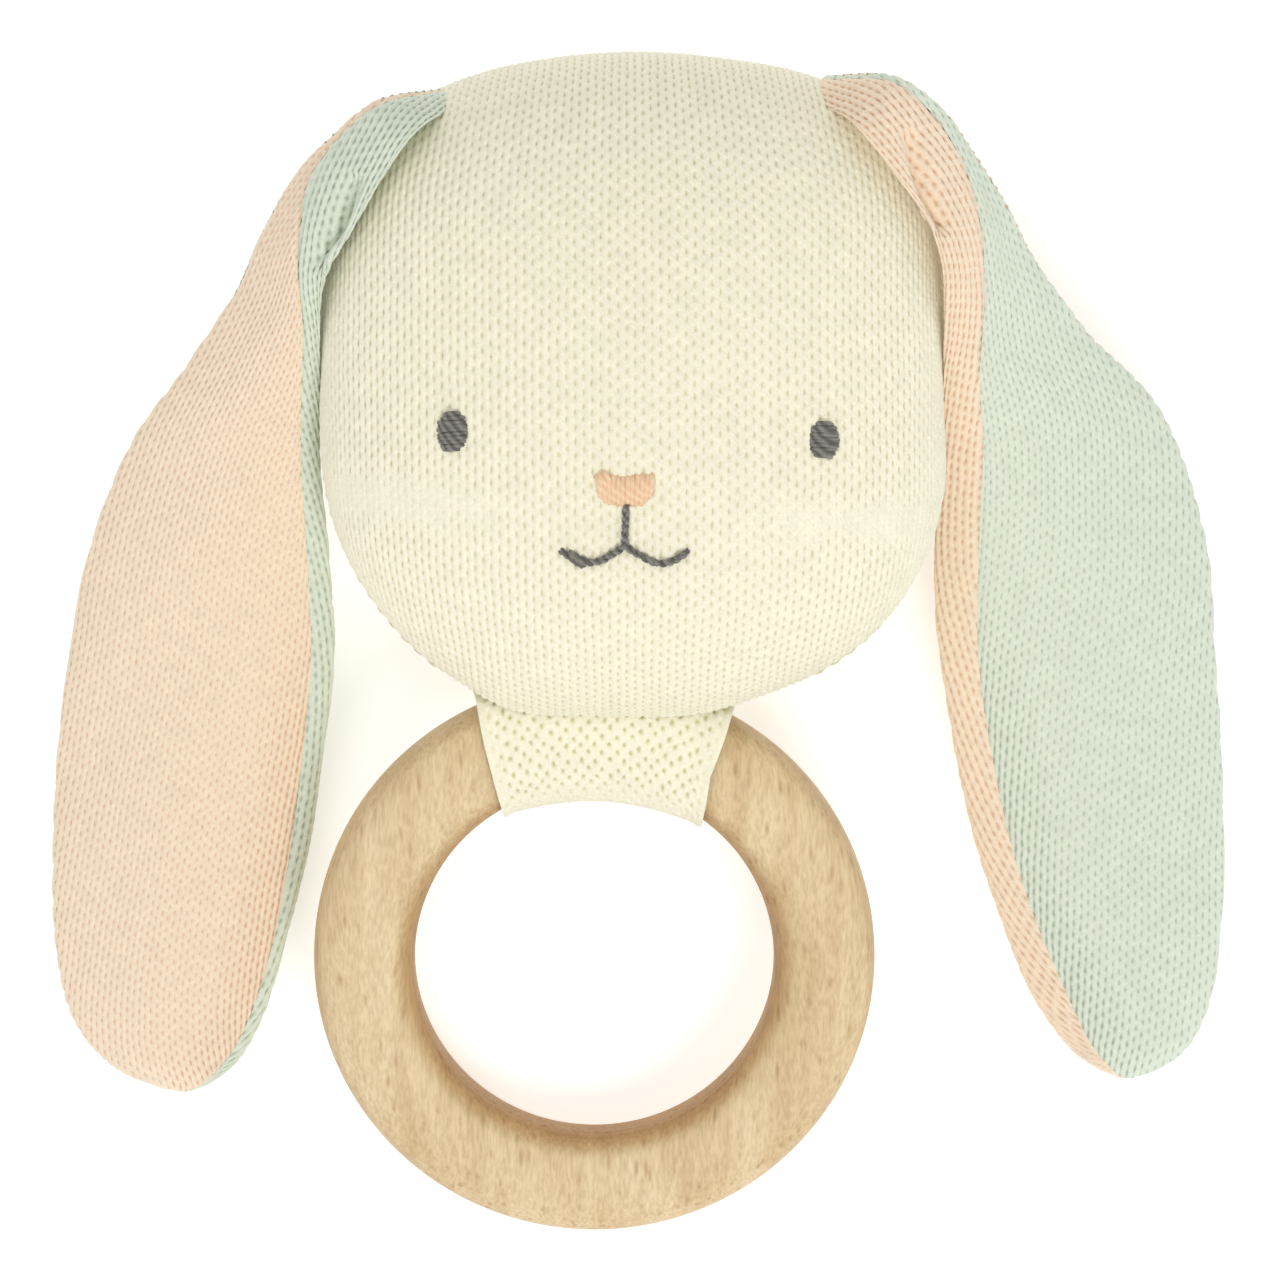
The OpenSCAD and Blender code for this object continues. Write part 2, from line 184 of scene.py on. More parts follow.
def stockinette(u, v):
    """Height of plain knitting, from 0 in its gaps to 1 on its yarn, at u wales and v courses."""
    x = u - np.floor(u) - 0.5
    y = v - np.floor(v)
    legs = np.zeros_like(u)
    for course in (-1, 0):
        t = (y - course) / 1.5
        inside = (t > 0) & (t < 1)
        t = np.clip(t, 0, 1)
        centre = 0.19 + 0.06 * (1 - np.cos(math.pi * t))
        radius = 0.3 * (0.55 + 0.45 * np.sin(math.pi * t) ** 0.6)
        lift = 1 - 0.45 * (2 * t - 1) ** 2
        for side in (-1, 1):
            for wale in (-1, 0, 1):
                off = (x - wale - side * centre) / radius
                round_top = np.sqrt(np.clip(1 - off * off, 0, 1))
                legs = np.maximum(legs, np.where(inside, round_top * lift, 0))
    gap = np.zeros_like(u)
    for middle, foot in GAPS:
        gap = np.maximum(gap, np.exp(-((x - middle) / 0.12) ** 2 - ((y - foot) / 0.29) ** 2))
    rib = 0.5 + 0.5 * np.cos(4 * math.pi * x)
    return np.clip(0.62 + 0.38 * legs - 0.62 * gap - 0.11 * rib, 0, 1)


def knitted(points, u, v, depth, seed, felt=0.0, ribbed=0.0):
    """Raises stitches from a grid of points. Returns the points, the (u, v) pairs and the yarn's height.

    felt, from 0 to 1, is how far loose fibres cover the stitches, and ribbed how far their columns part."""
    du = 0.05 * noise(u, 0.9 * v, seed) + 0.02 * noise(2.3 * u, 2.1 * v, seed + 1)
    dv = 0.12 * noise(2 * u, 0.5 * v, seed + 2) + 0.05 * noise(2 * u, 1.3 * v, seed + 3)
    height = stockinette(u + du, v + dv)
    column = 0.5 + 0.5 * np.cos(4 * math.pi * (u + du))
    height = np.clip(height - 0.4 * ribbed * column, 0, 1)
    fluff = 0.72 + 0.10 * noise(2.1 * u, 3.0 * v, seed + 4) + 0.06 * noise(5 * u, 5.3 * v, seed + 5)
    height = height + (fluff - height) * felt
    raised = points + grid_normals(points) * ((height - 0.6) * depth)[..., None]
    return raised, np.stack([u, v], -1), height


# ---------------------------------------------------------------- materials

# Specular level of a surface that has no special one
PLAIN_SPECULAR = 0.5


def srgb(r, g, b):
    """Linear colour of an sRGB one from 0 to 255."""
    c = np.array([r, g, b]) / 255
    c = np.where(c <= 0.04045, c / 12.92, ((c + 0.055) / 1.055) ** 2.4)
    return (*[float(x) for x in c], 1.0)


def grey(value):
    """Grey that a colour is multiplied by, or that a share is read from."""
    return (value, value, value, 1)


class Nodes:
    """Short calls for making a node tree."""

    def __init__(self, name):
        self.material = bpy.data.materials.new(name)
        self.material.use_nodes = True
        self.tree = self.material.node_tree
        self.shader = self.tree.nodes["Principled BSDF"]

    def add(self, kind, inputs=None, **settings):
        node = self.tree.nodes.new(kind)
        for key, value in settings.items():
            setattr(node, key, value)
        for key, value in (inputs or {}).items():
            self.set(node, key, value)
        return node

    def set(self, node, key, value):
        if isinstance(value, bpy.types.NodeSocket):
            self.tree.links.new(value, node.inputs[key])
        else:
            node.inputs[key].default_value = value

    def place(self):
        return self.add("ShaderNodeTexCoord").outputs["Object"]

    def yarn(self):
        return self.add("ShaderNodeAttribute", attribute_name="yarn").outputs["Fac"]

    def noise(self, vector, scale, detail, distortion=0.0):
        inputs = {"Vector": vector, "Scale": scale, "Detail": detail, "Distortion": distortion}
        return self.add("ShaderNodeTexNoise", inputs).outputs["Fac"]

    def ramp(self, factor, stops):
        node = self.add("ShaderNodeValToRGB", {"Fac": factor})
        elements = node.color_ramp.elements
        while len(elements) < len(stops):
            elements.new(0.5)
        for element, (place, colour) in zip(elements, stops):
            element.position = place
            element.color = colour
        return node.outputs["Color"]

    def mix(self, factor, a, b, blend="MIX"):
        node = self.add("ShaderNodeMix", data_type="RGBA", blend_type=blend)
        self.set(node, 0, factor)
        self.set(node, 6, a)
        self.set(node, 7, b)
        return node.outputs[2]

    def math(self, operation, a, b):
        node = self.add("ShaderNodeMath", operation=operation)
        self.set(node, 0, a)
        self.set(node, 1, b)
        return node.outputs[0]

    def finished(self, colour, roughness, specular, height, strength, distance):
        """The material, with its surface set and a bump of a height, a strength and a distance in metres."""
        bump = self.add("ShaderNodeBump", {"Height": height, "Strength": strength, "Distance": distance})
        surface = {"Base Color": colour, "Roughness": roughness, "Specular IOR Level": specular,
                   "Normal": bump.outputs["Normal"]}
        for key, value in surface.items():
            self.set(self.shader, key, value)
        return self.material


def knit_material(name, light, deep, tint):
    """Knitted cotton: light on the yarn, with painted shade in the deep colour in the gaps, and plies, fibres
    and soft blotches.
    """
    n = Nodes(name)
    place = n.place()
    stitches = n.add("ShaderNodeUVMap", uv_map="stitches").outputs["UV"]
    slow = n.noise(place, 55.0, 3.0)
    fine = n.noise(place, 2600.0, 3.0)
    blotch = n.noise(stitches, 0.7, 2.0)
    # Painted shade: where the yarn is low, in the gaps between stitches, the colour turns to the darker deep
    # one
    depth = n.ramp(n.yarn(), [(0.05, deep), (0.62, light), (1.0, light)])
    colour = n.mix(n.math("MULTIPLY", slow, 0.35), depth, tint)
    colour = n.mix(0.6, colour, n.ramp(blotch, [(0.3, grey(0.93)), (0.7, grey(1.03))]), "MULTIPLY")
    colour = n.mix(0.7, colour, n.ramp(fine, [(0.3, grey(0.90)), (0.7, grey(1.05))]), "MULTIPLY")
    n.set(n.shader, "Sheen Weight", 0.35)
    n.set(n.shader, "Sheen Roughness", 0.5)
    twist = n.add("ShaderNodeTexWave", {"Vector": stitches, "Scale": 1.5, "Distortion": 1.5, "Detail": 1.0},
                  bands_direction="DIAGONAL").outputs["Fac"]
    fluff = n.math("ADD", n.math("MULTIPLY", twist, 0.5), fine)
    return n.finished(colour, 0.92, 0.18, fluff, 0.35, 0.00012)


def thread_material(name, colour, dark):
    """Embroidery cotton with fine plies."""
    n = Nodes(name)
    place = n.place()
    ply = n.add("ShaderNodeTexWave", {"Vector": place, "Scale": 420.0, "Distortion": 2.0, "Detail": 2.0},
                bands_direction="DIAGONAL").outputs["Fac"]
    fine = n.noise(place, 3000.0, 3.0)
    n.set(n.shader, "Sheen Weight", 0.2)
    colour = n.mix(n.math("MULTIPLY", ply, fine), dark, colour)
    return n.finished(colour, 0.62, 0.35, n.math("ADD", ply, fine), 0.5, 0.0001)


def beech_material():
    """Unvarnished beech with its grain along Y and short dark flecks, and painted shade where yarn is 1: on
    the ring's inner wall and, less, its outer rim.
    """
    n = Nodes("beech")
    place = n.place()
    along = n.add("ShaderNodeMapping", {"Vector": place, "Scale": (1.0, 0.12, 1.0),
                                        "Rotation": (0.05, 0.0, 0.06)}).outputs[0]
    wide = n.noise(along, 130.0, 4.0, 0.6)
    growth = n.add("ShaderNodeTexWave", {"Vector": along, "Scale": 55.0, "Distortion": 7.0,
                                         "Detail": 3.0, "Detail Scale": 1.2}).outputs["Fac"]
    short = n.add("ShaderNodeMapping", {"Vector": place, "Scale": (1.0, 0.16, 1.0)}).outputs[0]
    fleck = n.add("ShaderNodeTexVoronoi", {"Vector": short, "Scale": 900.0, "Randomness": 1.0},
                  feature="F1").outputs["Distance"]
    keep = n.noise(place, 420.0, 2.0)
    fine = n.noise(short, 2600.0, 4.0)
    base = n.ramp(growth, [(0.0, srgb(216, 190, 148)), (0.5, srgb(229, 207, 166)),
                           (1.0, srgb(220, 196, 154))])
    broad = n.ramp(wide, [(0.3, srgb(202, 171, 126)), (0.52, srgb(226, 203, 160)),
                          (0.75, srgb(238, 217, 178))])
    colour = n.mix(0.55, base, broad)
    pores = n.ramp(fleck, [(0.10, grey(1)), (0.34, grey(0))])
    where = n.ramp(keep, [(0.34, grey(0)), (0.54, grey(1))])
    dark = n.math("MULTIPLY", pores, where)
    colour = n.mix(n.math("MULTIPLY", dark, 0.55), colour, srgb(176, 138, 92))
    shade = n.ramp(fine, [(0.34, (0.82, 0.78, 0.72, 1)), (0.62, grey(1.04))])
    colour = n.mix(0.8, colour, shade, "MULTIPLY")
    # Painted shade: a darker brown multiplied in on the ring's inner wall and outer rim, weighted by the yarn
    # attribute
    painted_wall_shade = n.mix(0.9, colour, srgb(196, 162, 112), "MULTIPLY")
    colour = n.mix(n.math("MULTIPLY", n.yarn(), 0.9), colour, painted_wall_shade)
    rough = n.add("ShaderNodeMapRange", {"Value": wide, "To Min": 0.42, "To Max": 0.6}).outputs[0]
    height = n.math("SUBTRACT", n.math("MULTIPLY", fine, 0.4), dark)
    return n.finished(colour, rough, 0.35, height, 0.25, 0.0002)


def fill_material():
    """Loose polyester fibre."""
    n = Nodes("fibre_fill")
    tufts = n.noise(n.place(), 300.0, 6.0, 2.0)
    colour = n.ramp(tufts, [(0.3, srgb(222, 222, 218)), (0.7, srgb(248, 248, 246))])
    return n.finished(colour, 0.95, PLAIN_SPECULAR, tufts, 0.8, 0.0005)


def plastic_material(name, colour, spot):
    """Matt moulded plastic with a fine spark texture."""
    n = Nodes(name)
    grain = n.noise(n.place(), 900.0, 2.0)
    return n.finished(n.ramp(grain, [(0.3, spot), (0.7, colour)]), 0.45, PLAIN_SPECULAR, grain, 0.2, 0.0001)


# The second colour of each knit is painted shade for the gaps between its stitches
CREAM = knit_material("cream_knit", srgb(248, 243, 218), srgb(198, 189, 141), srgb(240, 237, 212))
PEACH = knit_material("peach_knit", srgb(246, 225, 199), srgb(212, 166, 132), srgb(243, 223, 195))
MINT = knit_material("mint_knit", srgb(222, 230, 212), srgb(156, 170, 150), srgb(214, 223, 205))
CREAM_THREAD = thread_material("cream_thread", srgb(244, 240, 214), srgb(214, 208, 176))
PEACH_THREAD = thread_material("peach_thread", srgb(246, 221, 194), srgb(216, 180, 150))
MINT_THREAD = thread_material("mint_thread", srgb(214, 226, 206), srgb(172, 188, 166))
GREY_THREAD = thread_material("grey_thread", srgb(168, 163, 155), srgb(92, 88, 83))
NOSE_THREAD = thread_material("nose_thread", srgb(253, 228, 192), srgb(236, 197, 158))
BEECH = beech_material()
FILL = fill_material()
SHELL = plastic_material("rattle_shell", srgb(240, 240, 237), srgb(232, 232, 229))
BEAD = plastic_material("rattle_bead", srgb(140, 178, 204), srgb(130, 168, 196))

# ---------------------------------------------------------------- head

face_low, face_high = box_mm("head_front")
SEAM_Z = face_low[2]
FACE_Z = face_high[2]
FRONT_H = FACE_Z - SEAM_Z
# Depth that the back would have if the floor did not flatten it
BACK_H = 24.5
HEAD_MIDDLE = np.array([-0.8, 33.0])
DOME_IN, DOME_OUT = 2.4, 2.2
# The middle of the knitting stands this far out of the smooth cover
PROUD = 0.45
GRID = 520
WALE, COURSE = 2.13, 1.78
# Half width of the head that the rows of its grid are spaced for
GRID_REACH = 40.0
# The outline's distances are kept at twice this many equal angles, and are blurred over this many
HALF_ANGLES = 360
BLUR_REACH, BLUR_WIDTH = 12, 4.0

# Plan outline of the head before it swells, clockwise from the middle of the top
HEAD_OUTLINE = [[-4, 72.4], [10, 71.7], [22, 69.2], [31, 63.8], [35.8, 55.4], [37.1, 44],
                [37.1, 30], [36.9, 17.5], [33.2, 7.6], [27.2, 0.2], [18.8, -5.0], [7.4, -9.1],
                [-4.5, -9.4], [-15.5, -8.8], [-22.6, -4.6], [-29.4, 1.1], [-35.3, 9.4],
                [-38.6, 19], [-39.4, 32], [-39.2, 45], [-36.8, 55.8], [-31.4, 63.8], [-20, 69.8]]


def head_outline():
    """Distance from the head's middle to its seam at equal angles."""
    p = np.array(HEAD_OUTLINE, float)
    f = np.linspace(0, 1, 40, endpoint=False)[:, None]
    runs = [smooth(p[i - 1], p[i], p[(i + 1) % len(p)], p[(i + 2) % len(p)], f) for i in range(len(p))]
    plan = np.concatenate(runs) - HEAD_MIDDLE
    angle = np.arctan2(plan[:, 1], plan[:, 0])
    reach = np.linalg.norm(plan, axis=1)
    order = np.argsort(angle)
    at = np.arange(2 * HALF_ANGLES) * math.pi / HALF_ANGLES - math.pi
    line = np.interp(at, angle[order], reach[order], period=2 * math.pi)
    blur = np.exp(-0.5 * (np.arange(-BLUR_REACH, BLUR_REACH + 1) / BLUR_WIDTH) ** 2)
    round_again = np.concatenate([line[-BLUR_REACH:], line, line[:BLUR_REACH]])
    return np.convolve(round_again, blur / blur.sum(), "valid")


OUTLINE = head_outline()


def reach_at(angle):
    """Distance from the head's middle to its seam at an angle."""
    at = np.arange(2 * HALF_ANGLES + 1) * math.pi / HALF_ANGLES - math.pi
    return np.interp(angle, at, np.append(OUTLINE, OUTLINE[0]))


def dome(s):
    """Height of the dome, from 1 at its middle to 0 at its rim, where s is 1."""
    return np.clip(1 - np.clip(s, 0, 1) ** DOME_IN, 0, 1) ** (1 / DOME_OUT)


def even_share(height):
    """Table that spaces points evenly along a meridian of the dome: share of the way -> s."""
    s = 1 - np.linspace(1, 0, 4000) ** 3
    length = np.concatenate([[0], np.cumsum(np.hypot(np.diff(s) * GRID_REACH, np.diff(dome(s)) * height))])
    return length / length[-1], s


def disc_grid(count, side):
    """Grid of points over one half of the head, from a square laid on its plan without a pole."""
    a = np.linspace(-1, 1, count)
    b, a = np.meshgrid(a, a, indexing="ij")
    x, y = a * np.sqrt(1 - b * b / 2), b * np.sqrt(1 - a * a / 2)
    height = FRONT_H if side > 0 else BACK_H
    share, s = even_share(height)
    t = np.interp(np.hypot(x, y), share, s)
    angle = np.arctan2(y, x)
    r = t * reach_at(angle)
    plan = HEAD_MIDDLE + np.stack([r * np.cos(angle), r * np.sin(angle)], -1)
    z = SEAM_Z + side * height * dome(t)
    return np.concatenate([plan, z[..., None]], -1)


def wale_at(y):
    """Width of a stitch, which narrows where the wales run together over the top and under the chin."""
    top = np.clip((y - 52) / 22, 0, 1)
    chin = np.clip((8 - y) / 18, 0, 1)
    return WALE * (1 - 0.14 * top ** 1.5 - 0.08 * chin ** 1.5)


def course_at(y):
    """Height of a stitch, which closes up towards the chin."""
    return COURSE - 0.45 * np.clip((12 - y) / 16, 0, 1)


def run_length(points, size, axis):
    """Length along the rows (axis 1) or columns (axis 0) of a grid in stitches, from its middle line."""
    step = np.linalg.norm(np.diff(points, axis=axis), axis=-1)
    mid_size = (size[:, 1:] + size[:, :-1]) / 2 if axis else (size[1:] + size[:-1]) / 2
    total = np.cumsum(step / mid_size, axis=axis)
    first = np.zeros_like(total[:, :1] if axis else total[:1])
    total = np.concatenate([first, total], axis=axis)
    middle = points.shape[axis] // 2
    return total - (total[:, middle:middle + 1] if axis else total[middle:middle + 1])


def hollowed(points):
    """Pushes points out of the round hollow under the chin, in which the ring's tube and its loop lie."""
    p = np.array(points, float)
    past = np.maximum(np.abs(p[..., 0] - HOLLOW_X) - HOLLOW_HALF, 0) / HOLLOW_TAPER
    radius = HOLLOW_R * np.sqrt(np.clip(1 - past ** 2, 0, 1))
    y, z = p[..., 1] - NECK_Y, p[..., 2] - NECK_Z
    far = np.maximum(np.hypot(y, z), 0.3)
    push = np.maximum(radius - far, 0)
    soft = np.sqrt(push ** 2 + 0.4 ** 2) - 0.4
    p[..., 1] += y / far * soft
    p[..., 2] += z / far * soft
    return p


# Height that the back is flattened at, before its stitches, and how soft the edge of that flat is
REST_Z, REST_SOFT = 0.75, 0.8


def on_floor(points):
    """Flattens points that would lie below the resting height, with a soft edge."""
    p = np.array(points, float)
    low = p[..., 2] - REST_Z
    p[..., 2] = REST_Z + 0.5 * (low + np.sqrt(low ** 2 + REST_SOFT ** 2))
    return p


def disc_place(x, y):
    """Row and column in the disc grid, from -1 to 1, of plan points on the head."""
    d = np.stack([x, y], -1) - HEAD_MIDDLE
    angle = np.arctan2(d[..., 1], d[..., 0])
    s = np.linalg.norm(d, axis=-1) / reach_at(angle)
    share, table = even_share(FRONT_H)
    t = np.interp(s, table, share)
    p, q = t * np.cos(angle), t * np.sin(angle)
    root = 2 * math.sqrt(2)
    wide = 2 + p * p - q * q
    tall = 2 - p * p + q * q
    a = np.sqrt(np.maximum(wide + root * p, 0)) - np.sqrt(np.maximum(wide - root * p, 0))
    b = np.sqrt(np.maximum(tall + root * q, 0)) - np.sqrt(np.maximum(tall - root * q, 0))
    return b / 2, a / 2


def sampled(grid, row, column):
    """Values of a grid at rows and columns from -1 to 1."""
    n = grid.shape[0] - 1
    r, c = np.clip((row + 1) / 2 * n, 0, n - 1e-6), np.clip((column + 1) / 2 * n, 0, n - 1e-6)
    i, j = r.astype(int), c.astype(int)
    f, g = (r - i)[..., None], (c - j)[..., None]
    near = grid[i, j] * (1 - g) + grid[i, j + 1] * g
    far = grid[i + 1, j] * (1 - g) + grid[i + 1, j + 1] * g
    return near * (1 - f) + far * f


neck_joint = next(j for j in frame["joints"] if j["name"] == "neck_flex")
NECK_X, NECK_Y, NECK_Z = np.array(neck_joint["pos_m"]) / MM
# The hollow under the chin: its radius, its middle and half length along X, and how it closes at its ends
HOLLOW_R = 9.1
HOLLOW_X, HOLLOW_HALF, HOLLOW_TAPER = NECK_X + 1.8, 20.5, 7.0

# Cloth of a filled cover
CLOTH = {"quality": 6, "mass": 0.2, "tension_stiffness": 18, "compression_stiffness": 18,
         "shear_stiffness": 6, "bending_stiffness": 4.0, "use_pressure": True, "uniform_pressure_force": 4}
CLOTH_FRAMES = 20


def puffed(points, faces, pinned, cap, ease):
    """How far each point of a closed cover moves when cloth with a little ease is filled and swells."""
    moves = np.zeros_like(points)
    mesh = bpy.data.meshes.new("puff")
    mesh.from_pydata([tuple(p * MM) for p in points], [], [tuple(int(i) for i in f) for f in faces])
    cover = bpy.data.objects.new("puff", mesh)
    bpy.context.scene.collection.objects.link(cover)
    pins = cover.vertex_groups.new(name="pins")
    pins.add([int(i) for i in pinned], 1.0, "REPLACE")
    cloth = cover.modifiers.new("puff", "CLOTH")
    settings = cloth.settings
    for key, value in CLOTH.items():
        setattr(settings, key, value)
    settings.shrink_min = -ease
    settings.vertex_group_mass = "pins"
    settings.effector_weights.gravity = 0
    cloth.point_cache.frame_start = 1
    cloth.point_cache.frame_end = CLOTH_FRAMES
    scene = bpy.context.scene
    for frame_number in range(1, CLOTH_FRAMES + 1):
        scene.frame_set(frame_number)
    settled = cover.evaluated_get(bpy.context.evaluated_depsgraph_get())
    after = np.empty(len(points) * 3, np.float32)
    settled.data.vertices.foreach_get("co", after)
    moves = after.reshape(-1, 3) / MM - points
    bpy.data.objects.remove(cover)
    bpy.data.meshes.remove(mesh)
    scene.frame_set(1)
    size = np.linalg.norm(moves, axis=1, keepdims=True)
    return moves * np.minimum(1, cap / np.maximum(size, 1e-6))


def eased(grid, rounds):
    """A grid of values, averaged with its neighbours."""
    for _ in range(rounds):
        near = np.pad(grid, ((1, 1), (1, 1), (0, 0)), "edge")
        around = near[:-2, 1:-1] + near[2:, 1:-1] + near[1:-1, :-2] + near[1:-1, 2:]
        grid = 0.5 * grid + 0.125 * around
    return grid


# The head's coarse grid, the most that it swells, its ease, and the rounds of averaging of its moves
PUFF, HEAD_CAP, HEAD_EASE, HEAD_ROUNDS = 45, 1.2, 0.02, 6
# Points this near the hollow, or this low, are held
HOLD_NECK, HOLD_Z = 1.5, 1.2


def puff_head():
    """Moves of the face's and the back's points on coarse grids, from one simulation of the whole cover."""
    front = hollowed(disc_grid(PUFF, 1))
    back = on_floor(hollowed(disc_grid(PUFF, -1)))
    index = np.arange(PUFF * PUFF).reshape(PUFF, PUFF)
    rim = np.ones((PUFF, PUFF), bool)
    rim[1:-1, 1:-1] = False
    back_index = np.where(rim, index, index + PUFF * PUFF)
    points = np.concatenate([front.reshape(-1, 3), back.reshape(-1, 3)])
    used = np.unique(np.concatenate([index.ravel(), back_index.ravel()]))
    place = np.full(len(points), -1)
    place[used] = np.arange(len(used))
    front_faces = grid_faces(PUFF, PUFF)
    back_faces = back_index.ravel()[grid_faces(PUFF, PUFF)][:, ::-1]
    faces = place[np.concatenate([front_faces, back_faces])]
    start = points[used]
    near_neck = np.hypot(start[:, 1] - NECK_Y, start[:, 2] - NECK_Z) < HOLLOW_R + HOLD_NECK
    rests = start[:, 2] < HOLD_Z
    on_rim = (place[index[rim]][:, None] == np.arange(len(start))).any(0)
    pinned = np.flatnonzero(near_neck | rests | on_rim)
    moves = puffed(start, faces, pinned, HEAD_CAP, HEAD_EASE)
    return eased(moves[place[index]], HEAD_ROUNDS), eased(moves[place[back_index]], HEAD_ROUNDS)


# Share of the swelling that is kept along X, Y and Z, and how far from the seam it fades
SWELL_SHARE = np.array([0.5, 0.5, 1.0])
SEAM_FADE = 2.5


def head_half(side, moves):
    """The grid of one half of the head's cover before its stitches: face (1) or back (-1)."""
    points = disc_grid(GRID, side)
    a = np.linspace(-1, 1, GRID)
    b, a = np.meshgrid(a, a, indexing="ij")
    points = hollowed(points)
    if side < 0:
        points = on_floor(points)
    swell = sampled(moves, b, a) * SWELL_SHARE
    swell[..., 2] *= np.clip((points[..., 2] - 1.0) / 3, 0, 1)
    from_seam = np.clip(np.abs(points[..., 2] - SEAM_Z)[..., None] / SEAM_FADE, 0, 1)
    swell *= from_seam
    out = grid_normals(points) * np.where([False, False, True], from_seam, 1)
    points = points + swell + unit(out) * side * PROUD
    return points if side > 0 else on_floor(points)


def cheek_felt(points):
    """How fluffy the cover is: most in a band over each cheek at the nose's height."""
    x, y = points[..., 0], points[..., 1]
    y = y - 3.5 * np.clip((-14 - x) / 20, 0, 1)
    ragged = 1.5 * noise(x / 2.6, y / 1.9, 77) + 0.8 * noise(x / 0.9, y / 0.7, 78)
    height = np.clip((y - 10.4 + ragged) / 4.0, 0, 1) * np.clip((18.6 - y + ragged) / 2.8, 0, 1)
    left_side = np.clip((-13.0 - x + 2 * ragged) / 11, 0, 1)
    right_side = np.clip((x - 11.5 + 2 * ragged) / 11, 0, 1)
    return 0.6 * height * np.maximum(left_side, right_side)


def make_head():
    """Both halves of the head's cover. Returns the smooth grid of the face."""
    front_moves, back_moves = puff_head()
    smooth_grids = {}
    for side, name, node, seed, moves in ((1, "head_front_knit", "head_front", 11, front_moves),
                                          (-1, "head_back_knit", "head_back", 23, back_moves)):
        base = head_half(side, moves)
        if side < 0:
            base = base[:, ::-1]
        u = run_length(base, wale_at(base[..., 1]), 1) + 0.5
        v = run_length(base, course_at(base[..., 1]), 0)
        felt = cheek_felt(base) if side > 0 else 0.0
        depth = 0.47 * np.clip(np.abs(base[..., 2] - SEAM_Z) / 0.8, 0, 1)
        raised, uv, yarn = knitted(base, u, v, depth, seed, felt)
        cover = add_mesh(name, raised, grid_faces(GRID, GRID), CREAM, "cream_knit", uv, yarn)
        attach(cover, "head")
        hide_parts(node)
        smooth_grids[side] = base
    return smooth_grids[1]


face = make_head()
face_normals = grid_normals(face)


def on_face(x, y, lift):
    """Points that stand lift above the face's cover, over plan points."""
    row, column = disc_place(np.asarray(x, float), np.asarray(y, float))
    up = unit(sampled(face_normals, row, column))
    return sampled(face, row, column) + up * np.asarray(lift)[..., None]


# ---------------------------------------------------------------- face

def embroidered(name, parts, material, slot, node):
    """Threads as one piece that rides on the head."""
    points, faces = joined(parts)
    piece = add_mesh(name, points, faces, material, slot)
    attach(piece, "head")
    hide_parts(node)


def stitch(start, end, radius, lift, bow=0.0, lean=0.0):
    """Arched stitch over the face between two plan points, with its ends sunk in the cover."""
    f = np.linspace(0, 1, 13)
    start, end = np.array(start), np.array(end)
    across = np.array([-(end - start)[1], (end - start)[0]]) / max(np.linalg.norm(end - start), 1e-6)
    plan = start + (end - start) * f[:, None] + across * (np.sin(f * math.pi) * bow)[:, None]
    arch = np.sin(f * math.pi) ** 0.45
    height = lift * arch - 0.5 * (1 - arch) + lean
    thick = radius * (0.55 + 0.45 * np.sin(f * math.pi) ** 0.3)
    return tube(on_face(plan[:, 0], plan[:, 1], height), thick, 8)


# An eye is drawn this much smaller than its CAD node each way, and nearer the nose and lower
EYE_SMALLER = np.array([0.1, 0.25])
EYE_INWARD, EYE_LOWER = 0.6, 0.4
EYE_THREADS, NOSE_THREADS = 10, 12
# Share of its CAD node's width and height that the nose takes up
NOSE_SHARE = np.array([0.93, 1])


def make_eye(node, seed, tilt):
    """Satin stitch: threads laid side by side across the eye, a little wavy."""
    low, high = box_mm(node)
    middle = (low + high)[:2] / 2
    half = (high - low)[:2] / 2 - EYE_SMALLER
    middle = middle - np.array([math.copysign(EYE_INWARD, middle[0]), EYE_LOWER])
    rng = np.random.default_rng(seed)
    parts = []
    for k in range(EYE_THREADS):
        y = (k + 0.5) / EYE_THREADS * 2 - 1
        wide = half[0] * math.sqrt(1 - y * y * 0.86)
        slope = tilt + rng.uniform(-0.12, 0.12)
        shift = rng.uniform(-0.12, 0.12)
        a = middle + np.array([-wide + shift, y * half[1] - slope * wide * 0.5])
        b = middle + np.array([wide + shift, y * half[1] + slope * wide * 0.5])
        parts.append(stitch(a, b, 0.33, 0.55, bow=rng.uniform(-0.15, 0.15), lean=rng.uniform(-0.05, 0.1)))
    embroidered(node + "_stitches", parts, GREY_THREAD, "grey_thread", node)


def make_nose():
    """Satin stitch of upright threads, wider at the top, with a stray loop at its upper left corner."""
    low, high = box_mm("nose")
    middle = (low + high)[:2] / 2
    half = (high - low)[:2] / 2 * NOSE_SHARE
    rng = np.random.default_rng(5)
    parts = []
    for k in range(NOSE_THREADS):
        x = (k + 0.5) / NOSE_THREADS * 2 - 1
        top = half[1] + rng.uniform(-0.12, 0.2) - (0.25 if abs(x) < 0.3 else 0.0)
        foot = -half[1] * (1 - 1.3 * max(abs(x) - 0.62, 0)) + rng.uniform(-0.12, 0.12)
        lean = 0.12 * x
        a = middle + np.array([(x - lean) * half[0], foot])
        b = middle + np.array([x * half[0], top - 0.6])
        parts.append(stitch(a, b, 0.4, 0.6, bow=rng.uniform(-0.06, 0.06), lean=rng.uniform(-0.04, 0.08)))
    corner = middle + np.array([0.3 - half[0], half[1] - 0.6])
    for dx, dy in ((-0.1, -0.5), (0.35, -0.2), (0.8, 0.1)):
        start = corner + np.array([dx - 0.3, dy + 0.25])
        parts.append(stitch(start, start + np.array([1.0, -1.7]), 0.38, 0.85, bow=0.2))
    embroidered("nose_stitches", parts, NOSE_THREAD, "nose_thread", "nose")


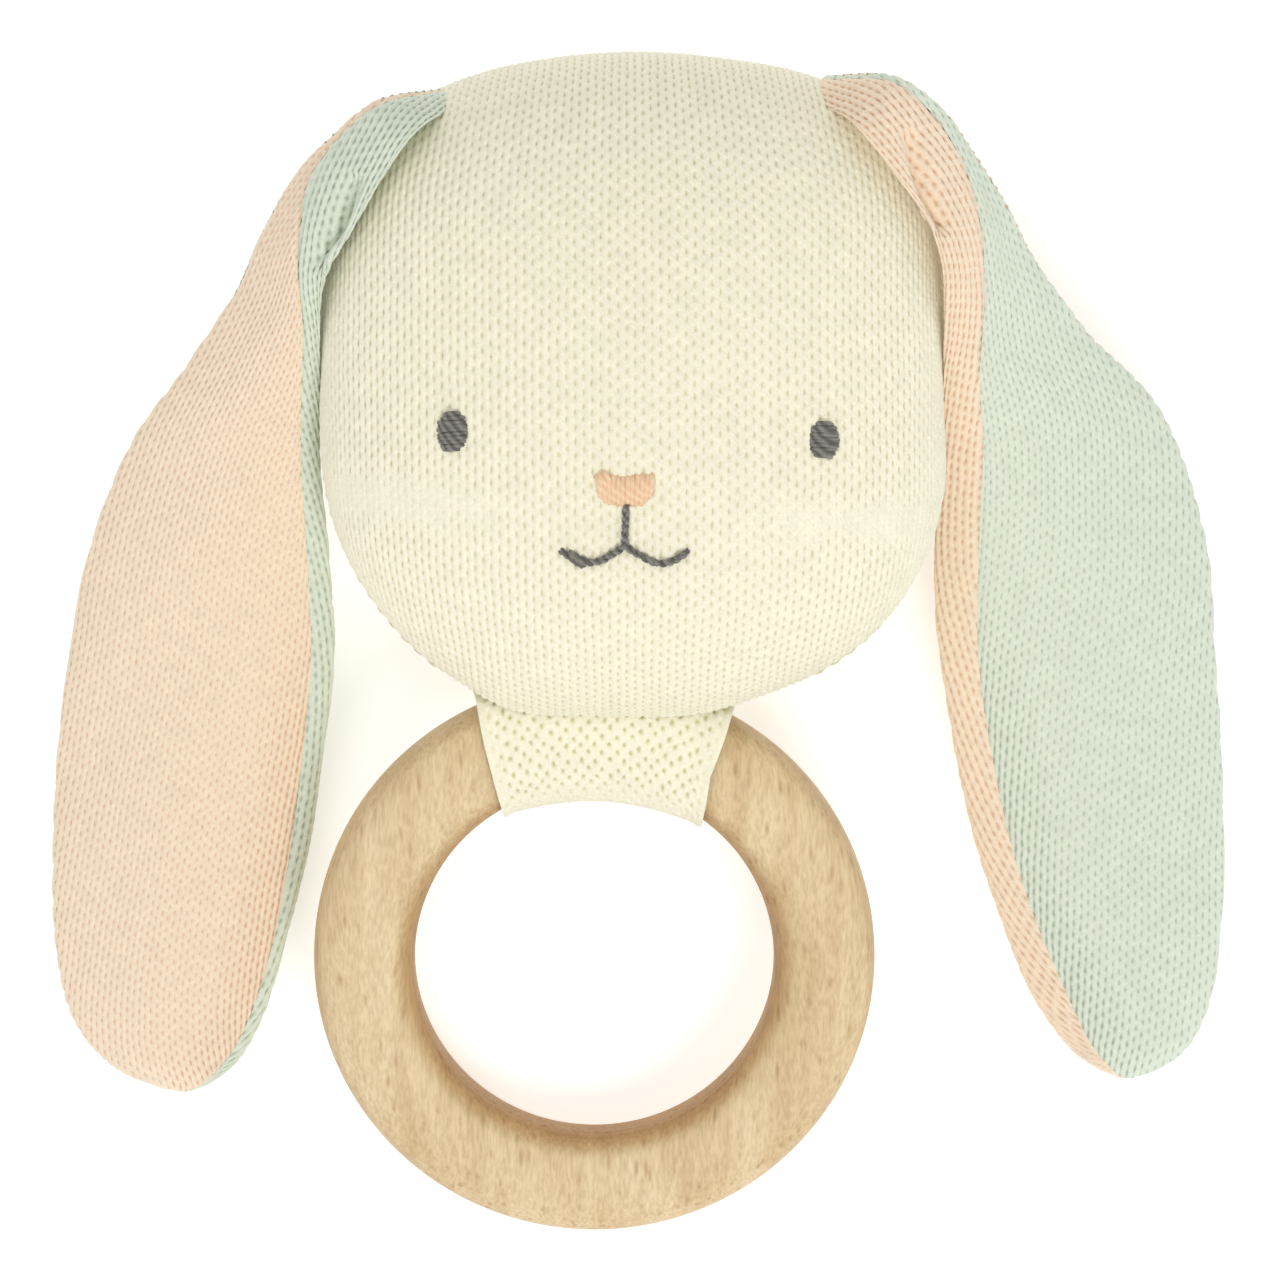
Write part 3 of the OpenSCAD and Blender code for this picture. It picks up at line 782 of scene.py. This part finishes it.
MOUTH_STEM = [[-1.8, 16.9], [-1.9, 14.3], [-2.0, 11.9]]
MOUTH_LEFT = [[-2.0, 12.0], [-3.7, 10.9], [-5.3, 10.1], [-7.3, 10.1], [-9.6, 11.3]]
MOUTH_RIGHT = [[-1.9, 12.0], [0.0, 10.8], [2.0, 9.9], [3.7, 10.1], [5.6, 11.3]]


def plied(start, end, radius):
    """A stitch of thread as two plies twisted together."""
    f = np.linspace(0, 1, 17)
    start, end = np.array(start), np.array(end)
    d = (end - start) / np.linalg.norm(end - start)
    plan = start + (end - start) * f[:, None]
    arch = np.sin(f * math.pi) ** 0.4
    turns = np.linalg.norm(end - start) / 1.9
    parts = []
    for phase in (0.0, math.pi):
        a = f * turns * 2 * math.pi + phase
        side = np.cos(a)[:, None] * np.array([-d[1], d[0]]) * radius * 0.5
        height = 0.5 * arch - 0.45 * (1 - arch) + np.sin(a) * radius * 0.5 + 0.12
        q = plan + side
        parts.append(tube(on_face(q[:, 0], q[:, 1], height), radius * 0.62, 7))
    return parts


def make_mouth():
    """Backstitch along the stem and both arms, with a thicker knot at the left end."""
    parts = []
    for line in (MOUTH_STEM, MOUTH_LEFT, MOUTH_RIGHT):
        for a, b in zip(line[:-1], line[1:]):
            d = (np.array(b) - a) / np.linalg.norm(np.array(b) - a)
            parts += plied(np.array(a) - d * 0.18, np.array(b) + d * 0.18, 0.45)
    for dx, dy, ex, ey in ((-9.0, 10.9, -6.8, 9.6), (-8.7, 11.2, -6.4, 10.0), (-8.4, 10.6, -7.1, 9.5)):
        parts += plied((dx, dy), (ex, ey), 0.42)
    embroidered("mouth_stitches", parts, GREY_THREAD, "grey_thread", "mouth")


make_eye("eye_left", 2, 0.12)
make_eye("eye_right", 3, -0.1)
make_nose()
make_mouth()

# ---------------------------------------------------------------- ears

# Each station: inner edge, outer edge, half thickness, and the seam's share of the width from the inner edge.
# The first is sewn into the head, where the CAD's stiff ear stands clear so that it can swing
EAR_LEFT = [
    [[-22.9, 66.4, 31.6], [-24.8, 68.6, 28.4], 1.3, 0.86],
    [[-28.0, 62.8, 41.2], [-32.6, 67.2, 35.6], 1.8, 0.90],
    [[-32.4, 56.5, 41.0], [-38.0, 63.2, 33.0], 2.2, 0.91],
    [[-35.8, 50.5, 39.2], [-43.0, 58.0, 30.0], 2.5, 0.78],
    [[-38.8, 44.5, 35.6], [-47.2, 51.0, 26.5], 2.8, 0.44],
    [[-39.6, 38.0, 31.2], [-51.0, 43.0, 22.0], 3.0, 0.20],
    [[-39.9, 30.0, 26.0], [-57.0, 34.0, 16.5], 3.3, 0.13],
    [[-39.7, 21.0, 20.2], [-64.0, 24.0, 11.5], 3.6, 0.10],
    [[-38.8, 10.0, 14.8], [-69.0, 11.0, 8.5], 3.9, 0.09],
    [[-38.4, -2.0, 10.8], [-71.4, -2.0, 6.5], 4.0, 0.08],
    [[-39.4, -14.0, 8.0], [-73.0, -14.0, 5.5], 4.0, 0.08],
    [[-41.6, -26.0, 6.6], [-73.5, -27.0, 5.0], 4.0, 0.065],
    [[-44.2, -37.0, 5.6], [-73.2, -38.0, 4.8], 3.9, 0.05],
    [[-47.0, -46.0, 5.0], [-71.2, -47.0, 4.5], 3.7, 0.055],
    [[-50.2, -52.0, 4.4], [-66.5, -53.0, 4.2], 3.2, 0.07],
    [[-53.6, -55.2, 3.8], [-60.8, -55.8, 3.8], 2.2, 0.12],
    [[-55.8, -56.2, 3.4], [-58.4, -56.3, 3.4], 1.2, 0.2]]
EAR_RIGHT = [
    [[21.6, 67.2, 31.2], [23.4, 70.3, 28.4], 1.4, 0.85],
    [[26.6, 63.6, 40.8], [31.4, 70.2, 35.4], 1.8, 0.90],
    [[31.0, 58.3, 41.2], [37.4, 66.2, 33.0], 2.2, 0.86],
    [[34.8, 52.6, 39.4], [41.6, 60.6, 30.2], 2.5, 0.79],
    [[37.2, 46.4, 36.4], [45.6, 54.4, 27.0], 2.8, 0.60],
    [[37.7, 40.0, 32.2], [49.4, 47.4, 23.0], 3.0, 0.42],
    [[37.6, 32.0, 27.0], [55.6, 38.6, 17.0], 3.3, 0.25],
    [[37.3, 22.0, 21.0], [65.0, 28.6, 11.5], 3.6, 0.19],
    [[36.6, 10.0, 15.2], [70.6, 13.0, 8.5], 3.9, 0.16],
    [[37.6, -2.0, 11.2], [71.9, -2.0, 6.5], 4.0, 0.13],
    [[39.4, -14.0, 8.2], [72.6, -14.0, 5.5], 4.0, 0.13],
    [[42.0, -26.0, 6.8], [73.0, -26.0, 5.0], 4.0, 0.14],
    [[45.6, -36.0, 5.8], [72.6, -36.0, 4.8], 3.9, 0.15],
    [[49.4, -44.4, 5.2], [71.2, -45.2, 4.5], 3.7, 0.18],
    [[53.2, -50.4, 4.6], [68.4, -51.0, 4.2], 3.2, 0.20],
    [[57.0, -53.4, 4.0], [64.4, -53.9, 4.0], 2.2, 0.24],
    [[59.4, -54.5, 3.6], [62.0, -54.6, 3.6], 1.2, 0.28]]
EAR_ROWS = 640
# Angle of the outer seam, just under the ear's edge
OUTER = math.pi + 0.16
# Rows that round off each end of an ear, and rows after them over which its root bends
CAP_ROWS, ROOT_ROWS = 8, 60
UP = np.array([0, 0, 1.0])


class Ear:
    """An ear's smooth stations, and the points of its outside at any angle round each of them."""

    def __init__(self, stations):
        rows = np.array([[*s[0], *s[1], s[2], s[3]] for s in stations])
        fine = open_curve(rows, 60)
        mid = (fine[:, :3] + fine[:, 3:6]) / 2
        length = np.concatenate([[0], np.cumsum(np.linalg.norm(np.diff(mid, axis=0), axis=1))])
        even = np.linspace(0, length[-1], EAR_ROWS)
        at = np.stack([np.interp(even, length, fine[:, k]) for k in range(8)], -1)
        mid, half = (at[:, :3] + at[:, 3:6]) / 2, (at[:, :3] - at[:, 3:6]) / 2
        wide = np.linalg.norm(half, axis=1)
        f = np.linspace(math.pi / 2, 0, CAP_ROWS, endpoint=False)
        first, last = unit(mid[0] - mid[1]), unit(mid[-1] - mid[-2])
        mid = np.concatenate([mid[:1] + first * np.sin(f)[:, None] * wide[0] * 0.5, mid,
                              mid[-1:] + last * np.sin(f[::-1])[:, None] * wide[-1] * 0.3])
        grow = np.concatenate([np.cos(f), np.ones(len(at)), np.cos(f[::-1])])
        pad = [0] * CAP_ROWS + list(range(len(at))) + [len(at) - 1] * CAP_ROWS
        self.mid = mid
        self.across = unit(half)[pad]
        self.wide = np.maximum(wide[pad] * grow, 0.02)
        self.thick = np.maximum(at[pad, 6] * grow, 0.02)
        self.seam = np.arccos(1 - 2 * at[pad, 7])
        self.length = np.concatenate([[0], np.cumsum(np.linalg.norm(np.diff(mid, axis=0), axis=1))])
        self.mirrored = stations[0][0][0] < 0

    def at(self, rows, angle):
        """Points of the outside at some rows, each at its own angles."""
        flat = self.across[rows][:, None] * (np.cos(angle) * self.wide[rows][:, None])[..., None]
        up = UP * (np.sin(angle) * self.thick[rows][:, None])[..., None]
        return self.mid[rows][:, None] + flat + up

    def outside(self, start, end, columns):
        """Grid of points from one angle to another, evenly spaced round each station."""
        fine = np.linspace(0, 1, 200)
        angle = start[:, None] + (end - start)[:, None] * fine
        wide, thick = self.wide[:, None], self.thick[:, None]
        step = np.hypot(np.diff(np.cos(angle)) * wide, np.diff(np.sin(angle)) * thick)
        arc = np.concatenate([np.zeros((len(step), 1)), np.cumsum(step, 1)], 1)
        even = np.linspace(0, 1, columns)
        a = np.stack([np.interp(even * s[-1], s, t) for s, t in zip(arc, angle)])
        return self.at(np.arange(len(self.mid)), a), a, arc[:, -1:] * even

    def bends(self, piece, name):
        """Bakes the placing of a piece of the ear into its points."""
        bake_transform(piece)


def groove(distance, deep, wide):
    """Depth of a groove at a distance from its middle line."""
    return -deep * np.exp(-(distance / wide) ** 2)


def crease(points, start, end, deep, wide):
    """Depth of a fold that deepens from one plan point to another and stops soon after it."""
    start, end = np.array(start), np.array(end)
    d = end - start
    f = ((points[..., :2] - start) @ d) / (d @ d)
    near = start + np.clip(f, 0, 1)[..., None] * d
    off = np.linalg.norm(points[..., :2] - near, axis=-1)
    return groove(off, deep, wide) * np.clip(f, 0, 1) ** 0.5


EAR_PUFF_ROWS, EAR_PUFF_SIDES = 70, 16
EAR_CAP, EAR_EASE, EAR_ROUNDS = 0.5, 0.01, 5


def puff_ear(ear):
    """Moves of an ear's points on a coarse grid, rows by angle, from a simulation of both its plies."""
    rows = np.linspace(0, len(ear.mid) - 1, EAR_PUFF_ROWS).astype(int)
    share = np.arange(EAR_PUFF_SIDES) / EAR_PUFF_SIDES
    front = ear.seam[rows, None] + (OUTER - ear.seam[rows, None]) * share
    back = OUTER + (2 * math.pi - OUTER + ear.seam[rows, None]) * share
    a = np.concatenate([front, back], 1)
    points = ear.at(rows, a)
    sides = 2 * EAR_PUFF_SIDES
    faces = grid_faces(EAR_PUFF_ROWS, sides, closed=True)[:, ::1 if ear.mirrored else -1]
    index = np.arange(EAR_PUFF_ROWS * sides).reshape(EAR_PUFF_ROWS, sides)
    ends = [index[0][::-1] if ear.mirrored else index[0], index[-1] if ear.mirrored else index[-1][::-1]]
    all_faces = [tuple(f) for f in faces] + [tuple(e) for e in ends]
    pinned = np.concatenate([index[:, 0], index[:, EAR_PUFF_SIDES], index[:10].ravel(), index[-2:].ravel()])
    moves = puffed(points.reshape(-1, 3), all_faces, np.unique(pinned), EAR_CAP, EAR_EASE)
    moves = moves.reshape(EAR_PUFF_ROWS, sides, 3)
    moves = np.concatenate([moves, moves[:, :1]], 1)
    front_moves = eased(moves[:, :EAR_PUFF_SIDES + 1], EAR_ROUNDS)
    back_moves = eased(moves[:, EAR_PUFF_SIDES:], EAR_ROUNDS)
    front_moves[:, [0, -1]] = 0
    back_moves[:, [0, -1]] = 0
    return front_moves, back_moves


def spread(moves, rows, columns):
    """A coarse grid of moves at rows by columns points."""
    r = np.linspace(0, moves.shape[0] - 1.001, rows)
    c = np.linspace(0, moves.shape[1] - 1.001, columns)
    i, j = r.astype(int), c.astype(int)
    f, g = (r - i)[:, None, None], (c - j)[None, :, None]
    near = moves[i][:, j] * (1 - g) + moves[i][:, j + 1] * g
    far = moves[i + 1][:, j] * (1 - g) + moves[i + 1][:, j + 1] * g
    return near * (1 - f) + far * f


# Width and height of a stitch on an ear's back ply
BACK_STITCH = (2.1, 1.5)
# Depth and width of the fold in an ear's root
FOLD = (3.4, 1.2)


def make_ear(name, stations, front_look, back_look, turn, size, folds, seed):
    """Both plies of an ear. turn slants the stitches, size is a front stitch's width and height."""
    ear = Ear(stations)
    half_turn = np.full(len(ear.mid), OUTER)
    swells = puff_ear(ear)
    for part, look, start, end, columns, swell, (wale, course) in (
            ("front", front_look, ear.seam, half_turn, 190, swells[0], size),
            ("back", back_look, half_turn, ear.seam + 2 * math.pi, 220, swells[1], BACK_STITCH)):
        points, angle, across = ear.outside(start, end, columns)
        points = points + spread(swell, *points.shape[:2])
        if not ear.mirrored:
            points, angle, across = points[:, ::-1], angle[:, ::-1], across[:, ::-1]
        normals = grid_normals(points)
        width = across.max(axis=1, keepdims=True)
        edge = np.minimum(across, width - across)
        rank = np.arange(len(points))[:, None]
        calm = np.clip((np.minimum(rank, len(points) - 1 - rank) - CAP_ROWS + 2) / 14, 0, 1)
        outward = unit(ear.across[:, None] * (np.cos(angle) / ear.wide[:, None])[..., None]
                       + UP * (np.sin(angle) / ear.thick[:, None])[..., None])
        base = points + outward * (groove(edge, 0.45, 0.6) * calm)[..., None]
        top = np.clip(2 * np.sin(angle), 0, 1)
        for fold in folds:
            base += normals * (crease(base, *fold) * top)[..., None]
        soft = 0.28 * noise(across / 9.0, ear.length[:, None] / 13.0, seed)
        base += normals * (soft * calm * np.clip(edge / 4, 0, 1))[..., None]
        depth = (0.34 if part == "front" else 0.5) * calm * (0.3 + 0.7 * np.clip(edge / 0.9, 0, 1))
        along = ear.length[:, None] + 0 * angle
        ribbed = 0.0
        if part == "front":
            off = np.cos(angle) * ear.wide[:, None]
            from_inner = ear.wide[:, None] * np.cos(ear.seam)[:, None] - off
            ribbed = 0.9 * np.clip(1 - from_inner / 7.0, 0, 1) * np.clip((8 - base[..., 1]) / 20, 0, 1)
        else:
            off = across - width / 2
            ribbed = 0.3
        u = (off * math.cos(turn) + along * math.sin(turn)) / wale
        v = -(along * math.cos(turn) - off * math.sin(turn)) / course
        raised, uv, yarn = knitted(base, u, v, depth, seed + len(part), 0.0, ribbed)
        faces = grid_faces(*raised.shape[:2])
        piece = add_mesh(f"{name}_{part}_knit", raised, faces, *look, uv, yarn)
        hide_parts(f"{name}_{part}")
        ear.bends(piece, name)
    return ear


PEACH_LOOK, MINT_LOOK = (PEACH, "peach_knit"), (MINT, "mint_knit")
left = make_ear("ear_left", EAR_LEFT, PEACH_LOOK, MINT_LOOK, math.radians(4), (1.5, 1.35),
                [((-35.4, 58.0), (-39.2, 47.2), *FOLD)], 31)
right = make_ear("ear_right", EAR_RIGHT, MINT_LOOK, PEACH_LOOK, math.radians(-10), (1.65, 1.5),
                 [((33.0, 63.5), (37.0, 52.0), *FOLD)], 57)


def make_ear_seam(name, ear, material, slot):
    """Small slanted stitches along both seams of an ear, sunk in their grooves."""
    parts = []
    rows = np.arange(CAP_ROWS + 6, len(ear.mid) - CAP_ROWS - 22)
    for angle in (ear.seam, np.full(len(ear.mid), OUTER)):
        line = ear.at(np.arange(len(ear.mid)), angle[:, None])[:, 0]
        out = unit(ear.across * (np.cos(angle) / ear.wide)[:, None]
                   + UP * (np.sin(angle) / ear.thick)[:, None])
        along = unit(np.gradient(line, axis=0))
        side = np.cross(along, out)
        for k in rows[::6]:
            f = np.linspace(-1, 1, 7)[:, None]
            path = line[k] + along[k] * f * 0.45 + side[k] * f * 0.35 - out[k] * (0.62 + 0.2 * f * f)
            parts.append(tube(path, 0.16, 5))
    points, faces = joined(parts)
    piece = add_mesh(f"{name}_seam_stitches", points, faces, material, slot)
    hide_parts(f"{name}_seam")
    ear.bends(piece, name)


# First row that an ear's loose fibre reaches, and points round each of its rows
WADDING_FIRST, WADDING_SIDES = 230, 48


def make_wadding(name, ear):
    """Loose fibre inside an ear, which stops short of its flat sewn root."""
    rows = np.arange(WADDING_FIRST, len(ear.mid) - CAP_ROWS - 12, 3)
    a = np.linspace(0, 2 * math.pi, WADDING_SIDES, endpoint=False)
    full = ear.at(rows, np.broadcast_to(a, (len(rows), WADDING_SIDES)))
    middle = ear.mid[rows][:, None]
    share = 1 - 2.3 / np.maximum(np.stack([ear.wide[rows], ear.thick[rows]], -1).min(1), 2.4)
    tufts = 0.25 * noise(np.arange(len(rows))[:, None] / 4.0, a * 3.0, 91)
    edge = (full - middle) * share[:, None, None]
    flat = unit((full - middle)) * tufts[..., None]
    ends = np.sin(np.linspace(0.02, math.pi - 0.02, len(rows))) ** 0.3
    points = middle + (edge * np.array([1.35, 1.35, 1.0]) + flat) * ends[:, None, None]
    faces = grid_faces(len(rows), WADDING_SIDES, closed=True)
    piece = add_mesh(f"{name}_fibre", points, faces, FILL, "fibre_fill")
    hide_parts(f"{name}_wadding")
    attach(piece, name)


make_wadding("ear_left", left)
make_wadding("ear_right", right)
make_ear_seam("ear_left", left, MINT_THREAD, "mint_thread")
make_ear_seam("ear_right", right, PEACH_THREAD, "peach_thread")

# ---------------------------------------------------------------- ring and neck

# The wooden section's width and height, and how square its shoulders are: 2 is an ellipse
RING_W, RING_H, SHOULDER = 12.6, 12.0, 2.9
ring_joint = next(j for j in frame["joints"] if j["name"] == "ring_spin")
RING_MIDDLE = np.array(ring_joint["pos_m"]) / MM
RING_AXIS = unit(np.array(ring_joint["axis"]))
ring_low, ring_high = box_mm("ring")
TUBE_R = ((ring_high - ring_low)[0] - RING_W) / 2


def ring_place(turn, out, up):
    """World point at an angle from the ring's top, out from its tube's middle, and up along its axis."""
    ahead = unit(np.cross(RING_AXIS, [1.0, 0, 0]))
    side = np.cross(ahead, RING_AXIS)
    r = TUBE_R + out
    return (RING_MIDDLE + (r * np.sin(turn))[..., None] * side + (r * np.cos(turn))[..., None] * ahead
            + up[..., None] * RING_AXIS)


def make_ring():
    """Turned ring: a rounded section with soft shoulders and faint tool marks on its inner wall."""
    around, along = 144, 420
    a = np.linspace(0, 2 * math.pi, around, endpoint=False)
    power = 2 / SHOULDER
    out = RING_W / 2 * np.sign(np.cos(a)) * np.abs(np.cos(a)) ** power
    up = RING_H / 2 * np.sign(np.sin(a)) * np.abs(np.sin(a)) ** power
    marks = 0.03 * np.sin(up * 5.2) * np.clip(-np.cos(a), 0, 1) ** 2
    turn = np.linspace(0, 2 * math.pi, along, endpoint=False)[:, None]
    wobble = 0.03 * np.sin(3 * turn + 0.6) + 0.02 * np.sin(7 * turn)
    out = np.broadcast_to(out - marks, (along, around)) * (1 + 0.004 * wobble)
    points = ring_place(turn + 0 * out, out, np.broadcast_to(up, out.shape))
    index = np.arange(along * around).reshape(along, around)
    index = np.concatenate([index, index[:1]])
    index = np.concatenate([index, index[:, :1]], 1)
    faces = np.stack([index[:-1, :-1], index[:-1, 1:], index[1:, 1:], index[1:, :-1]], -1).reshape(-1, 4)
    # Painted shade for the beech: 1 on the inner wall, up to 0.35 on the outer rim, carried as the yarn
    # attribute
    wall = np.clip(-np.cos(a) * 2.2 - 1.0, 0, 1) + 0.35 * np.clip(np.cos(a) * 3.0 - 2.1, 0, 1)
    ring = add_mesh("wooden_ring", points, faces, BEECH, "beech", None, np.broadcast_to(wall, out.shape))
    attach(ring, "ring")
    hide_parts("ring")


def open_knit(u, v):
    """Height of stretched knitting: small open holes, drawn as dips that the knit's painted shade darkens, in
    brick order between soft ribs.
    """
    x = u - np.floor(u)
    y = v - np.floor(v)
    hole = np.zeros_like(u)
    for middle, foot in ((0, 0), (1, 0), (0, 1), (1, 1), (0.5, 0.5)):
        hole = np.maximum(hole, np.exp(-((x - middle) / 0.14) ** 2 - ((y - foot) / 0.18) ** 2))
    rib = 0.5 - 0.5 * np.cos(4 * math.pi * u)
    return np.clip(0.76 + 0.12 * rib - 0.72 * hole, 0, 1)


# The neck band's section round the tube, as (out from the tube's middle, up): from the head's hollow, under
# the tube, loose through the hole, over the tube's face and back into the hollow
BAND_SECTION = [[9.2, -2.4], [6.6, -5.2], [3.4, -6.8], [0.0, -7.0], [-3.0, -6.9], [-6.6, -5.2],
                [-8.0, -1.8], [-8.1, 1.8], [-7.4, 4.9], [-4.8, 6.7], [-1.6, 7.3], [1.6, 7.4],
                [4.6, 7.0], [7.4, 5.4], [9.2, 2.6]]
# The piece that closes the loop on the head's side
BACK_SECTION = [[1.5, 6.7], [4.2, 6.3], [6.4, 4.4], [7.3, 1.5], [7.3, -1.5], [6.4, -4.4],
                [4.2, -6.3], [1.5, -6.7]]
# Angles of the band's left and right edges from the ring's top, in degrees, at three distances out
EDGES_OUT, EDGE_LEFT, EDGE_RIGHT = [-7.5, 0, 8], [30.2, 26.6, 23.4], [36.6, 30.2, 27.9]
# Stitches across the band, and the height of one
BAND_WALES, BAND_COURSE = 16, 2.1


def band_grid(section, columns, rows, loose):
    """Grid of points of a band of knitting round the ring's tube, between its two edges."""
    line = open_curve(section, 24)
    length = np.concatenate([[0], np.cumsum(np.linalg.norm(np.diff(line, axis=0), axis=1))])
    even = np.linspace(0, length[-1], rows)
    out = np.interp(even, length, line[:, 0])[:, None]
    up = np.interp(even, length, line[:, 1])[:, None]
    f = np.linspace(0, 1, columns)[None, :]
    left_edge = np.interp(out, EDGES_OUT, EDGE_LEFT)
    right_edge = np.interp(out, EDGES_OUT, EDGE_RIGHT)
    turn = np.radians(-left_edge + (left_edge + right_edge) * f)
    inward = np.clip(-out / 8.5, 0, 1) ** 2
    hug = np.abs(2 * f - 1) ** 2.5 * loose * inward
    return ring_place(turn, out + hug, up + 0 * f), even[:, None] + 0 * f, out + 0 * f


def make_neck():
    """The band of knitting round the ring's tube, and the short piece that closes it."""
    for name, section, columns, rows, loose, nodes in (
            ("neck_band_knit", BAND_SECTION, 230, 360, 1.5, ["neck_loop"]),
            ("neck_band_back", BACK_SECTION, 190, 120, 0.0, [])):
        points, along, out = band_grid(section, columns, rows, loose)
        step = np.linalg.norm(np.diff(points, axis=1), axis=-1)
        across = np.concatenate([np.zeros((rows, 1)), np.cumsum(step, 1)], 1)
        u = across / across[:, -1:] * BAND_WALES
        v = along / BAND_COURSE
        yarn = open_knit(u + 0.14 * noise(u, v, 71), v + 0.18 * noise(1.3 * u, v, 72))
        shut = np.clip((-out - 4.5) / 4.0, 0, 0.75)
        hem = np.minimum(across, across[:, -1:] - across)
        shut = np.maximum(shut, np.exp(-(hem / 1.1) ** 2))
        yarn = yarn + (0.8 + 0.08 * noise(3 * u, 3 * v, 73) - yarn) * shut
        lift = (yarn - 0.6) * 0.6 + 0.25 * np.exp(-(hem / 0.8) ** 2)
        outer = points + grid_normals(points) * lift[..., None]
        uv = np.stack([u, v], -1)
        piece = add_mesh(name, outer, grid_faces(rows, columns), CREAM, "cream_knit", uv, yarn)
        thick = piece.modifiers.new("cloth", "SOLIDIFY")
        thick.thickness = 0.0004
        thick.offset = -1.0
        if nodes:
            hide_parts(*nodes)
            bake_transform(piece)
        else:
            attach(piece, "neck")


# Stitches of the neck's seam, its first angle from the ring's top and its whole angle, in degrees
NECK_STITCHES, NECK_FIRST, NECK_SPAN = 26, -22.0, 48


def make_neck_seam():
    """Row of slanted stitches that closes the band on the side towards the head."""
    parts = []
    for k in range(NECK_STITCHES):
        first = NECK_FIRST + NECK_SPAN * k / NECK_STITCHES
        last = NECK_FIRST + NECK_SPAN * (k + 0.8) / NECK_STITCHES
        turn = np.radians(np.linspace(first, last, 7))
        f = np.linspace(-1, 1, 7)
        parts.append(tube(ring_place(turn, 7.8 - 0.3 * f * f, 0.5 * f), 0.28, 6))
    points, faces = joined(parts)
    piece = add_mesh("neck_seam_stitches", points, faces, CREAM_THREAD, "cream_thread")
    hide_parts("neck_seam")
    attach(piece, "neck")


HEAD_STITCHES = 118


def make_head_seam():
    """Slanted stitches that join the face to the back of the head, all round but for the hollow."""
    parts = []
    for k in range(HEAD_STITCHES):
        a = (k + np.linspace(-0.34, 0.34, 7)) / HEAD_STITCHES * 2 * math.pi - math.pi
        r = reach_at(a) + PROUD - 0.1
        z = SEAM_Z + np.linspace(-0.55, 0.55, 7)
        bulge = 0.22 * (1 - np.linspace(-1, 1, 7) ** 2)
        x = HEAD_MIDDLE[0] + (r + bulge) * np.cos(a)
        y = HEAD_MIDDLE[1] + (r + bulge) * np.sin(a)
        path = np.stack([x, y, z], -1)
        if np.abs(hollowed(path) - path).max() < 0.3:
            parts.append(tube(path, 0.26, 6))
    points, faces = joined(parts)
    piece = add_mesh("head_seam_stitches", points, faces, CREAM_THREAD, "cream_thread")
    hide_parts("head_seam")
    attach(piece, "head")


make_ring()
make_neck()
make_neck_seam()
make_head_seam()

# ---------------------------------------------------------------- inner parts, which keep their CAD shape

for node, material in (("stuffing_front", FILL), ("stuffing_back", FILL), ("rattle_front", SHELL),
                       ("rattle_back", SHELL), ("rattle_beads", BEAD)):
    mesh = frame["nodes"][node].data
    mesh.materials.clear()
    mesh.materials.append(material)

# ---------------------------------------------------------------- floor, light and camera


FLOOR_HALF = 3.0


def make_stage():
    """Plain pale floor that glows a little, so that it stays white under the object."""
    h = FLOOR_HALF
    mesh = bpy.data.meshes.new("floor")
    mesh.from_pydata([(-h, -h, 0), (h, -h, 0), (h, h, 0), (-h, h, 0)], [], [(0, 1, 2, 3)])
    floor = bpy.data.objects.new("floor", mesh)
    bpy.context.scene.collection.objects.link(floor)
    n = Nodes("floor_paper")
    n.set(n.shader, "Base Color", (0.95, 0.95, 0.95, 1))
    n.set(n.shader, "Roughness", 0.9)
    n.set(n.shader, "Specular IOR Level", 0.1)
    n.set(n.shader, "Emission Color", (1.0, 1.0, 1.0, 1))
    n.set(n.shader, "Emission Strength", 0.34)
    mesh.materials.append(n.material)


# Point that both lights face
LIT = (0, 0, 0.02)


def add_light(name, place, size, power):
    """Round soft light, with its size in metres and its power in watts."""
    light = bpy.data.lights.new(name, "AREA")
    light.shape = "DISK"
    light.size = size
    light.energy = power
    lamp = bpy.data.objects.new(name, light)
    bpy.context.scene.collection.objects.link(lamp)
    lamp.location = place
    lamp.rotation_euler = (Vector(LIT) - Vector(place)).to_track_quat("-Z", "Y").to_euler()


def make_light():
    """Even white surroundings, a key light from the lower right and a weaker fill from the upper left."""
    world = bpy.data.worlds.new("studio")
    bpy.context.scene.world = world
    world.use_nodes = True
    background = world.node_tree.nodes["Background"].inputs
    background["Color"].default_value = (1.0, 1.0, 1.0, 1)
    background["Strength"].default_value = 0.60
    add_light("key", (0.34, -0.72, 1.02), size=0.5, power=5.6)
    add_light("fill", (-0.3, 0.3, 1.2), size=0.8, power=3.0)


# The camera looks straight down on this point, from far off, and sees this width at its height, in metres
VIEW_X, VIEW_Y, VIEW_Z, VIEW_WIDTH = -0.0001, 0.00006, 0.010, 0.160


def make_camera():
    data = bpy.data.cameras.new("camera")
    data.lens = 720
    data.sensor_width = 36
    distance = VIEW_WIDTH * data.lens / data.sensor_width
    camera = bpy.data.objects.new("camera", data)
    camera.location = (VIEW_X, VIEW_Y, distance + VIEW_Z)
    bpy.context.scene.collection.objects.link(camera)
    bpy.context.scene.camera = camera
    bpy.context.scene.view_settings.view_transform = "Standard"


make_stage()
make_light()
make_camera()
